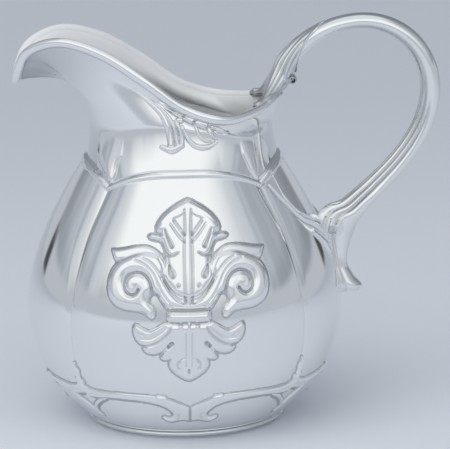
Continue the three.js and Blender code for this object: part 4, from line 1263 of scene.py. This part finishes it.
# Each ridge or groove: its height or depth, half widths and path
FLEUR_RIDGES = [
    (3.3, [0.7, 1.5, 1.1], [(0, 55.5), (0, 30), (0, 6.5)]),
    (2.9, [0.7, 0.9, 0.6], [(0, 38.5), (2.5, 40.5), (5, 44), (8.5, 48.5)]),
    (2.9, [1.3, 1.5, 1], [(0, 57), (5, 54.6), (10, 51.6), (14, 48)]),
    (3.6, [4.6, 4.6], [(27.2, 17.8), (28, 17.4)]),
    (3.1, [1.2, 1.8, 2, 2, 1.6], [(12.5, -3.6), (17.5, -7), (21.5, -8.6), (25, -7.2), (27.8, -5.2)]),
    (3.0, [1.2, 1.1, 0.8], [(0, -3), (0, -18), (0, -29)]),
    (3.2, [1.9, 1.6], [(4.4, -4.6), (5.2, -6.4)]),
]
FLEUR_GROOVES = [
    (0.9, [0.4, 0.7, 0.8, 0.7], [
        (15.6, 30), (13.6, 26), (13.6, 21.4), (11.2, 17), (7.6, 13.4), (4, 11.1), (0, 10.3), (-3, 10.8)]),
    (1.1, [0.5, 0.7, 0.6], [(1.7, 54), (2.2, 30), (2, 8)]),
    (0.8, [0.4, 0.6, 0.5], [(1.6, 41.6), (4, 44.6), (7, 48.6)]),
    (0.9, [0.5, 0.6, 0.4], [(2, 38), (5.4, 41.6), (9.4, 47)]),
    (2.0, [0.4, 0.8, 1.2, 1.5], [(12.2, 44.3), (11, 41), (9.6, 38), (8.8, 36.2)]),
    (1.5, [0.5, 0.9, 0.9, 0.9, 0.8, 0.4], [
        (20.3, 39.4), (15, 38.2), (13.6, 35.5), (11.8, 32.8), (8.5, 31.5), (5.2, 32.8)]),
    (2.2, [0.5, 1.2, 1.9, 2], [(10.2, 27.2), (9.8, 25), (9, 22.8), (8.6, 21.6)]),
    (1.0, [0.9, 0.9], [(5.4, 16.4), (5.4, 15.8)]),
    (1.7, [1, 0.9, 0.9, 0.9, 0.8, 0.7], FLEUR_VOLUTE),
    (0.9, [2.2, 2.6, 2.8, 2.8, 2.4, 1.6], FLEUR_VOLUTE),
    (0.8, [0.5, 0.7, 0.7, 0.6], [
        (24, 30), (20.5, 28.2), (17.4, 25.2), (13.6, 19.4), (9.2, 13.2), (5, 8.8), (0, 6.6), (-3, 7.4)]),
    (0.8, [0.5, 0.7, 0.7, 0.6], [(28, 28.8), (22.8, 26.6), (19, 22.6), (16, 16.6), (12.6, 10.6), (8.6, 5.8)]),
    (1.2, [0.6, 0.9, 0.8, 0.5], [(25, -15.6), (20, -14.8), (15.5, -12.2), (11.5, -8.4), (9.5, -5)]),
    (0.8, [0.6, 0.7, 0.5], [(25.5, -11.5), (20.5, -11.4), (15.5, -8.6), (11.5, -5.2)]),
    (1.2, [0.8, 0.9, 0.8], [(14.9, -20.3), (13.2, -17.6), (11.4, -15.6)]),
    (1.9, [1.3, 1.5], [(11, -15.4), (9.2, -13.8)]),
    (1.0, [0.7, 0.6], [(11, -24.4), (9.2, -22)]),
    (1.0, [0.5, 0.8, 0.7, 0.5], [(2.4, -21.4), (5.4, -23.8), (6.2, -26.3), (4.6, -28)]),
    (0.8, [0.5, 0.6], [(1.7, -8), (1.5, -26)]),
    (1.2, [0.9, 0.7], [(0, -28.5), (0, -30.8)]),
]


def fleur_relief(size, x, v):
    """Pillows inside the outlines with ridges on them, cut by veins, slits and eyes."""
    u = np.abs(x - FLEUR_TILT * v)
    scale = size.fleur_relief / FLEUR_DRAWN_RELIEF
    leaf, *others = (pillow(u, v, *form) for form in FLEUR_FORMS)
    leaf = leaf - FLEUR_PANE_DEPTH * ease(pillow(u, v, FLEUR_PANE, 1, FLEUR_PANE_EDGE))
    ridges = [ridge(u, v, path, widths, height) for height, widths, path in FLEUR_RIDGES]
    grooves = sum(groove(u, v, path, widths, depth) for depth, widths, path in FLEUR_GROOVES)
    return scale * carved(raised(leaf, *others, *ridges), grooves)


def fleur_shell(size):
    """The fleur's relief over a patch of the front panel, with places as seen from the front."""
    half, low, high = FLEUR_FIELD
    x = np.arange(-half, half + FLEUR_STEP, FLEUR_STEP)[None, :]
    v = np.arange(low, high, FLEUR_STEP)[:, None]
    x, v = np.broadcast_arrays(x, v)
    z = FLEUR_BAR_HEIGHT + v
    angle = np.arcsin(x / outline_radius(size, z)) - QUARTER
    # A thin skirt round the fleur carries tarnish and painted shade
    relief = with_shade_skirt(softened(fleur_relief(size, x, v), FLEUR_SOFTNESS))
    return relief_on_bulb(size, angle, z, relief, WIDE_HOLLOWS)


# Scrolls round the foot, buds, vines and the scroll under the rim

SCROLL_STEP = 0.4
SCROLL_ANGLES = (-50, 50)
SCROLL_FIELD = (9, 42)
SCROLL_FIT = 0.94
SCROLL_SHARE = 0.85
SCROLL_EDGE = 2.1
SCROLL_OUTLINE = [
    (0, 24.4), (3, 26.4), (6.5, 28.8), (10, 30.7), (14, 31.5), (20, 31.9), (30, 31.7), (40, 31.4), (45, 32.8),
    (48, 36.5), (50.5, 36.5), (49.5, 31), (46, 26.4), (40, 25.9), (35, 26.9), (27, 27.4), (20, 27.2),
    (15, 26.2), (11, 24.2), (8.6, 21.6), (7.6, 19.2), (8, 17.6), (9.6, 17), (11, 17.9), (12.4, 16.8),
    (11, 14.6), (8.5, 13.6), (5.5, 14.4), (3.4, 15), (0, 14.2),
]
# Each strand: its path in degrees and heights, half widths, share of the relief and what is added to it
SCROLL_STRANDS = [
    ([(36.5, 26.2), (41.5, 23.4), (46, 19.2), (47.6, 15.6), (46, 12.8)], [0.8, 1.4, 1.6, 1.4, 1], 0.8, 0),
    ([(9.4, 30.3), (12.6, 30.9)], [0.7, 1.1, 0.7], 1, 0.3),
]
# Each groove: its depth, half widths and path
SCROLL_GROOVES = [
    (1.3, [1, 0.9], [(0, 25), (0, 14.6)]),
    (0.4, [0.5, 0.7, 0.6], [(31, 29.6), (38, 28.8), (44, 29), (48.4, 32)]),
    (0.6, [0.5, 0.7, 0.5], [(5, 20.4), (4.6, 18), (6, 16)]),
]
BUD_STEP = 0.25
BUD_ANGLES = (38, 52)
BUD_FIELD = (24, 48)
# Each drop: its heights along the valley and half widths
BUD_DROPS = [((45.5, 41.5, 38.6), [0.9, 2.7, 2]), ((37.2, 34, 28.5), [1.9, 3.1, 1.4])]
VINE_ANGLES = (-46, -4)
VINE_FIELD = (96, 138.5)
# Each strand: its path in degrees and heights, half widths, share of the relief and fullness
VINE_STRANDS = [
    ([(-7, 103), (-9.5, 104.6), (-14, 108.8), (-20, 113.4), (-26, 116.9), (-30, 121), (-33, 126.2), (-36, 131),
      (-39.5, 138)], [3.4, 2.8, 2.4, 2.2, 2, 1.9, 1.8, 1.7, 1.4], 1, 1.4),
    ([(-7.5, 111), (-10, 112.3), (-18, 115.6), (-24, 118.4), (-29, 121.2)], [1.5, 1.5, 1.3, 1, 0.7], 0.9, 1.5),
    ([(-7.5, 107.6), (-9, 108.3), (-14, 110.6), (-20, 113.4)], [1.3, 1.3, 1.1, 0.8], 1, 1.5),
    ([(-7.5, 100.2), (-9, 101), (-15, 105.6), (-20, 110)], [1.7, 1.4, 1.1, 0.6], 0.7, 1.5),
]
WAVE_SPAN = (-160, -48, 0.34)
WAVE_ROWS = np.linspace(0.06, 0.97, 230)[:, None]
WAVE_TARNISH_AND_SHADE = 0.6
# Each strand: its path along X and Z, half widths, share of the relief and what is added to it
WAVE_STRANDS = [
    ([(-27, 193.4), (-22, 189.3), (-16.6, 184.8), (-11.5, 179.6), (-8.4, 173), (-7.2, 166.5), (-7, 163.4)],
     [0.4, 0.9, 1.5, 1.8, 2, 2.1, 2], 1, 0),
    ([(-15, 185.4), (-8.6, 178.8), (-5.2, 173.4), (-4, 168), (-3.6, 164)], [0.6, 1.2, 1.3, 1.3, 1.2], 1, 0),
    ([(-4.6, 176.4), (-2.8, 173.6), (-1.4, 169.6), (-0.9, 164.6)], [0.6, 1.2, 1.5, 1.5], 1, 0),
    ([(-11.8, 162.4), (-6.5, 160.9), (-1.2, 163.2)], [1.7, 2.3, 1.9], 1, 0.5),
    ([(-3.3, 176.2), (-1.2, 175.8)], [1.4, 1.4], 1, 0.4),
    ([(-0.6, 173.4), (0.8, 169.6), (2.6, 166.2), (5.4, 163.2), (9.5, 161.7), (13.6, 161.8), (17.6, 163.9)],
     [0.7, 1.2, 1.5, 1.6, 1.7, 1.6, 1.1], 1, 0),
    ([(5.4, 174.4), (7.2, 170.8), (9.2, 167.2), (12, 164.9), (14.6, 164.7)], [0.5, 1, 1.2, 1.1, 0.7], 0.9, 0),
    ([(13.4, 170.8), (15.4, 167.6), (17.8, 164.6)], [1.2, 1.2, 0.9], 1, 0),
    ([(16.6, 169.4), (18.8, 168), (22.4, 167.5), (26, 168.4)], [0.6, 0.8, 0.8, 0.5], 0.6, 0),
    ([(24.4, 170.8), (26.8, 172.6), (29.4, 174.8)], [0.5, 1.1, 0.5], 0.9, 0),
]


def panel_patch(size, low_angle, high_angle, low, high, step):
    """A patch of the bulb: its angles and heights, and true distances along it round and up."""
    middle = outline_radius(size, (low + high) / 2)
    angle = np.arange(low_angle * DEGREE, high_angle * DEGREE, step / middle)[None, :]
    z = np.arange(low, high, step)[:, None]
    angle, z = np.broadcast_arrays(angle, z)
    return angle, z, angle * middle, outline_run(size, z)


def on_panel(size, patch_low, patch_high, path):
    """A path given as degrees round and heights, in the true distances of its patch."""
    middle = outline_radius(size, (patch_low + patch_high) / 2)
    return [(degrees * DEGREE * middle, float(outline_run(size, height))) for degrees, height in path]


def base_scroll_shell(size, quarters):
    """The ogee band of one panel, split at its point, with curls under the point and hooks under its ends."""
    even, z, u, v = panel_patch(size, *SCROLL_ANGLES, *SCROLL_FIELD, SCROLL_STEP)
    u = np.abs(u)

    def draw(path):
        return on_panel(size, *SCROLL_FIELD, [(SCROLL_FIT * degrees, height) for degrees, height in path])

    relief = SCROLL_SHARE * size.scroll_relief
    band = pillow(u, v, both_sides(draw(SCROLL_OUTLINE)), relief, SCROLL_EDGE)
    strands = [
        ridge(u, v, draw(path), widths, relief * share + more) for path, widths, share, more in SCROLL_STRANDS
    ]
    grooves = sum(groove(u, v, draw(path), widths, depth) for depth, widths, path in SCROLL_GROOVES)
    # Painted shadow under the band: its skirt reaches some rows further below it
    whole = with_shade_skirt(carved(raised(band, *strands), grooves), SHADOW_SKIRT_ROWS)
    return relief_on_bulb(size, true_angle(even + quarters * QUARTER, z), z, whole, NARROW_HOLLOWS)


def bud_shell(size, quarters):
    """Two drops one over the other on a valley, the upper one pointed."""
    even, z, u, v = panel_patch(size, *BUD_ANGLES, *BUD_FIELD, BUD_STEP)
    u = u - QUARTER / 2 * outline_radius(size, sum(BUD_FIELD) / 2)
    drops = []
    for heights, widths in BUD_DROPS:
        line = [(0.0, float(outline_run(size, height))) for height in heights]
        drops.append(ridge(u, v, line, widths, size.bud_relief))
    # A thin skirt round the buds carries tarnish and painted shade
    whole = with_shade_skirt(raised(*drops))
    return relief_on_bulb(size, true_angle(even + quarters * QUARTER, z), z, whole, WIDE_HOLLOWS)


def vine_shell(size):
    """Strands from beside the handle's root over the side panel to the cusp, on the front half."""
    angle, z, u, v = panel_patch(size, *VINE_ANGLES, *VINE_FIELD, SCROLL_STEP)
    strands = [
        ridge(u, v, on_panel(size, *VINE_FIELD, path), widths, size.vine_relief * share, fullness)
        for path, widths, share, fullness in VINE_STRANDS
    ]
    # Tarnish and painted shade in the strands' hollows
    return relief_on_bulb(size, angle, z, raised(*strands), NARROW_HOLLOWS)


def neck_scroll_shell(size):
    """Strands that leave the rim by the spout, drop to a hoof, and wave on towards the handle."""
    angle, share = np.broadcast_arrays(np.arange(*WAVE_SPAN)[None, :] * DEGREE, WAVE_ROWS)
    base = neck_point(size, angle, share)
    u, v = base[..., 0], base[..., 2]
    whole = raised(*(
        ridge(u, v, path, widths, size.scroll_relief * part + more) for path, widths, part, more in WAVE_STRANDS
    ))
    shell, used = relief_shell(base, neck_outward(size, angle, share), whole)
    # Tarnish and painted shade in the strands' hollows, weaker on the neck
    return shell, WAVE_TARNISH_AND_SHADE * tarnish_and_shade_in_hollows(whole, NARROW_HOLLOWS).ravel()[used]


# Stage

CAMERA_TARGET = (0.0234, 0.0, 0.1083)
CAMERA_DISTANCE = 1.85
CAMERA_AZIMUTH = -2.2 * DEGREE
CAMERA_ELEVATION = 12.5 * DEGREE
CAMERA_ROLL = 0.9 * DEGREE
PICTURE_WIDTH = 0.252
SENSOR_WIDTH = 36
CAMERA_SIGHT = 100
KEY_PLACE = (-0.9, -1.1, 1.7)
KEY_AIM = (0, 0, 0.1)
KEY_SIZE = 1.8
FLOOR_SIZE = 14
FLOOR_POINTS = 13
FLOOR_ROUGHNESS = 0.85
FLOOR_GLOSS = 0.1
FLOOR_DARKENS = (-0.3, 1.1)
ROOM_DARKENS = (60 * DEGREE, 165 * DEGREE)
ROOM_TURN = 14 * DEGREE
SOFTBOX_LEFT = (-86 * DEGREE, -58 * DEGREE)
SOFTBOX_RIGHT = (72 * DEGREE, 26 * DEGREE)
SOFTBOX_LOW = (0.08, 0.48)
SOFTBOX_HIGH = (0.93, 0.8)
HORIZON = (0.2, 0.13)
TABLE_EDGE = ((0.1, 0.2), (0.36, 0.22))
TABLE_EDGE_FROM = (60 * DEGREE, 110 * DEGREE)
TABLE_EDGE_SHADE = 0.5
STREAKS = {"Scale": 3.0, "Detail": 2.0}
STREAK_SHADE = (0.35, 0.75, 0.6)
FLAGS = ((128 * DEGREE, 132 * DEGREE), (141 * DEGREE, 137 * DEGREE))
FLAG_HEIGHTS = ((-0.02, 0.03), (0.2, 0.1))
CEILING = (0.8, 0.95)


def camera_axes():
    """The picture's right and up directions and the way back from the pitcher to the camera."""
    azimuth, elevation, roll = CAMERA_AZIMUTH, CAMERA_ELEVATION, CAMERA_ROLL
    level = np.cos(elevation)
    back = np.array([np.sin(azimuth) * level, -np.cos(azimuth) * level, np.sin(elevation)])
    right = np.array([np.cos(azimuth), np.sin(azimuth), 0])
    up = np.cross(back, right)
    return np.cos(roll) * right - np.sin(roll) * up, np.sin(roll) * right + np.cos(roll) * up, back


def stand(context, name, data, axes, place):
    """An object at a place, with its right, up and back directions."""
    matrix = np.eye(4)
    matrix[:3, :3] = np.stack(axes, -1)
    matrix[:3, 3] = place
    thing = bpy.data.objects.new(name, data)
    thing.matrix_world = Matrix(matrix.tolist())
    context.scene.collection.objects.link(thing)
    return thing


def add_camera(context):
    """A long lens at the photograph's angle."""
    axes = camera_axes()
    lens = bpy.data.cameras.new("camera")
    lens.sensor_width = SENSOR_WIDTH
    lens.lens = SENSOR_WIDTH * CAMERA_DISTANCE / PICTURE_WIDTH
    lens.clip_end = CAMERA_SIGHT
    place = np.array(CAMERA_TARGET) + CAMERA_DISTANCE * axes[2]
    context.scene.camera = stand(context, "camera", lens, axes, place)


def add_key_light(context):
    """A soft square lamp that faces the pitcher; the metal shows the room and not the lamp."""
    lamp = bpy.data.lights.new("key", "AREA")
    lamp.shape = "RECTANGLE"
    lamp.size = lamp.size_y = KEY_SIZE
    lamp.energy = context.scene.pitcher.stage.key_power
    back = unit(np.array(KEY_PLACE) - np.array(KEY_AIM))
    right = unit(np.cross(UP, back))
    light = stand(context, "key", lamp, (right, np.cross(back, right), back), KEY_PLACE)
    light.visible_glossy = False


def floor_material(stage):
    """Plain pale floor whose colour darkens a little away from the viewer, as painted fall-off of the light."""
    material = bpy.data.materials.new("pale_floor")
    material.use_nodes = True
    tree = material.node_tree
    shader = tree.nodes["Principled BSDF"]
    shader.inputs["Roughness"].default_value = FLOOR_ROUGHNESS
    shader.inputs["Specular IOR Level"].default_value = FLOOR_GLOSS
    split = node_of(tree, "ShaderNodeSeparateXYZ")
    tree.links.new(node_of(tree, "ShaderNodeTexCoord").outputs["Object"], split.inputs["Vector"])
    tone = blend(tree, ramp(tree, split.outputs["Y"], *FLOOR_DARKENS), stage.floor, stage.floor_far_shaded)
    tree.links.new(tone, shader.inputs["Base Color"])
    return material


def add_floor(context):
    """A level square under the pitcher."""
    half = FLOOR_SIZE / 2
    along = np.linspace(-half, half, FLOOR_POINTS)
    x, y = np.meshgrid(along, along, indexing="ij")
    points = np.stack([x, y, 0 * x], -1).reshape(-1, 3)
    mesh = bpy.data.meshes.new("floor")
    mesh.from_pydata(points.tolist(), [], grid_faces(FLOOR_POINTS, FLOOR_POINTS).tolist())
    mesh.materials.append(floor_material(context.scene.pitcher.stage))
    floor = bpy.data.objects.new("floor", mesh)
    context.scene.collection.objects.link(floor)


def add_room(context):
    """A grey room, darker behind the pitcher, with a wide softbox high up on the viewer's side."""
    stage = context.scene.pitcher.stage
    world = bpy.data.worlds.new("room")
    world.use_nodes = True
    tree = world.node_tree
    way = node_of(tree, "ShaderNodeSeparateXYZ")
    tree.links.new(node_of(tree, "ShaderNodeTexCoord").outputs["Generated"], way.inputs["Vector"])
    height = way.outputs["Z"]
    side = maths(tree, "ARCTAN2", way.outputs["X"], maths(tree, "MULTIPLY", way.outputs["Y"], -1))
    away = maths(tree, "ABSOLUTE", maths(tree, "ADD", side, ROOM_TURN))
    walls = blend(tree, ramp(tree, away, *ROOM_DARKENS), stage.room_front, stage.room_back)

    bands = node_of(tree, "ShaderNodeTexNoise", **STREAKS)
    bands.noise_dimensions = "1D"
    tree.links.new(side, bands.inputs["W"])
    walls = blend(tree, ramp(tree, bands.outputs["Fac"], *STREAK_SHADE), walls, stage.room_back)
    edge = window(tree, height, *TABLE_EDGE)
    edge = maths(tree, "MULTIPLY", edge, ramp(tree, away, *TABLE_EDGE_FROM, TABLE_EDGE_SHADE))
    walls = blend(tree, edge, walls, stage.room_back)
    for ends, tone in ((HORIZON, stage.horizon), (CEILING, stage.ceiling)):
        walls = blend(tree, ramp(tree, height, *ends), walls, tone)

    boards = window(tree, maths(tree, "ABSOLUTE", side), *FLAGS)
    boards = maths(tree, "MULTIPLY", boards, window(tree, height, *FLAG_HEIGHTS))
    walls = blend(tree, boards, walls, stage.flag)
    softbox = window(tree, side, SOFTBOX_LEFT, SOFTBOX_RIGHT)
    softbox = maths(tree, "MULTIPLY", softbox, window(tree, height, SOFTBOX_LOW, SOFTBOX_HIGH))
    background = tree.nodes["Background"]
    tree.links.new(blend(tree, softbox, walls, stage.softbox), background.inputs["Color"])
    background.inputs["Strength"].default_value = 1.0
    context.scene.world = world


# Operators

class PITCHER_OT_bulb(bpy.types.Operator):
    """Builds the four-panelled bulb with its collar, and the foot under it"""

    bl_idname = "pitcher.bulb"
    bl_label = "Bulb and foot"

    def execute(self, context):
        size = sizes(context)
        bulb, brushed = bulb_shell(size)
        dress(context, "bulb_wall", bulb, "bulb", POLISHED, brushed=brushed)
        dress(context, "foot_bead", foot_shell(size), "base_disc", SATIN)
        return {"FINISHED"}


class PITCHER_OT_mouth(bpy.types.Operator):
    """Builds the neck with its spout, and the bead round its rim"""

    bl_idname = "pitcher.mouth"
    bl_label = "Neck and rim"

    def execute(self, context):
        size = sizes(context)
        neck, dull, brushed = neck_shell(size)
        dress(context, "neck_wall", neck, "neck_spout", POLISHED, dull, brushed)
        rim, dull, brushed = rim_shell(size)
        dress(context, "mouth_bead", rim, "rim_bead", POLISHED, dull, brushed)
        return {"FINISHED"}


class PITCHER_OT_handle(bpy.types.Operator):
    """Builds the fluted handle with its tail, and the leaf round its upper end"""

    bl_idname = "pitcher.handle"
    bl_label = "Handle and leaf"

    def execute(self, context):
        size = sizes(context)
        handle, tarnish_and_shade = handle_shell(size)
        dress(context, "fluted_handle", handle, "handle", POLISHED, tarnish_and_shade)
        leaf, rough = leaf_shell(size)
        whole = joined([leaf, border_shell(size), heel_shell(), curl_shell()])
        # Painted shade on the leaf's border, heel and curl
        rough = np.pad(rough, (0, len(whole[0]) - len(rough)), constant_values=HEEL_SHADE)
        dress(context, "handle_acanthus", whole, "handle_leaf", SATIN, rough)
        return {"FINISHED"}


class PITCHER_OT_fleurs(bpy.types.Operator):
    """Builds the fleur-de-lis on the front and back panels"""

    bl_idname = "pitcher.fleurs"
    bl_label = "Fleurs-de-lis"

    def execute(self, context):
        shell, tarnish_and_shade = fleur_shell(sizes(context))
        for side, quarters in (("front", 0), ("back", 2)):
            dress(context, "lily_" + side, turned(shell, quarters), "fleur_" + side, POLISHED, tarnish_and_shade)
        return {"FINISHED"}


class PITCHER_OT_foot_scrolls(bpy.types.Operator):
    """Builds the ogee scrolls round the foot and the buds between them"""

    bl_idname = "pitcher.foot_scrolls"
    bl_label = "Foot scrolls and buds"

    def execute(self, context):
        size = sizes(context)
        sides = ("handle_side", "back", "spout_side", "front")
        corners = ("back_right", "back_left", "front_left", "front_right")
        for quarters, (side, corner) in enumerate(zip(sides, corners)):
            shell, tarnish_and_shade = base_scroll_shell(size, quarters)
            dress(context, "ogee_" + side, shell, "base_scroll_" + side, POLISHED, tarnish_and_shade)
            shell, tarnish_and_shade = bud_shell(size, quarters)
            dress(context, "bud_" + corner, shell, "corner_bud_" + corner, POLISHED, tarnish_and_shade)
        return {"FINISHED"}


class PITCHER_OT_upper_scrolls(bpy.types.Operator):
    """Builds the scrolls under the rim and the vines beside the handle's root"""

    bl_idname = "pitcher.upper_scrolls"
    bl_label = "Neck scrolls and vines"

    def execute(self, context):
        size = sizes(context)
        scroll, scroll_tarnish_and_shade = neck_scroll_shell(size)
        vine, vine_tarnish_and_shade = vine_shell(size)
        for side, place in (("front", lambda shell: shell), ("back", mirrored)):
            dress(context, "wave_" + side, place(scroll), "neck_scroll_" + side, POLISHED, scroll_tarnish_and_shade)
            dress(context, "vine_" + side, place(vine), "root_vine_" + side, POLISHED, vine_tarnish_and_shade)
        return {"FINISHED"}


class PITCHER_OT_stage(bpy.types.Operator):
    """Sets up the camera, the floor, the room and the light"""

    bl_idname = "pitcher.stage"
    bl_label = "Stage"

    def execute(self, context):
        context.scene.view_settings.view_transform = "Standard"
        add_camera(context)
        add_floor(context)
        add_room(context)
        add_key_light(context)
        return {"FINISHED"}


OPERATORS = (
    PITCHER_OT_bulb,
    PITCHER_OT_mouth,
    PITCHER_OT_handle,
    PITCHER_OT_fleurs,
    PITCHER_OT_foot_scrolls,
    PITCHER_OT_upper_scrolls,
    PITCHER_OT_stage,
)


class PITCHER_PT_panel(bpy.types.Panel):
    """Lists the pieces of the pitcher"""

    bl_label = "Pitcher"
    bl_idname = "PITCHER_PT_panel"
    bl_space_type = "VIEW_3D"
    bl_region_type = "UI"
    bl_category = "Pitcher"

    def draw(self, context):
        for operator in OPERATORS:
            self.layout.operator(operator.bl_idname)
        for name in PitcherSettings.__annotations__:
            box = self.layout.box()
            group = getattr(context.scene.pitcher, name)
            for value in group.__annotations__:
                box.prop(group, value)


CLASSES = (
    PitcherBody,
    PitcherMouth,
    PitcherHandle,
    PitcherOrnament,
    PitcherFinish,
    PitcherStage,
    PitcherSettings,
    *OPERATORS,
    PITCHER_PT_panel,
)


def register():
    for item in CLASSES:
        bpy.utils.register_class(item)
    bpy.types.Scene.pitcher = bpy.props.PointerProperty(type=PitcherSettings)


def unregister():
    del bpy.types.Scene.pitcher
    for item in reversed(CLASSES):
        bpy.utils.unregister_class(item)


def main():
    """Builds every piece and the stage."""
    register()
    for operator in OPERATORS:
        group, name = operator.bl_idname.split(".")
        getattr(getattr(bpy.ops, group), name)()


if __name__ == "__main__":
    main()
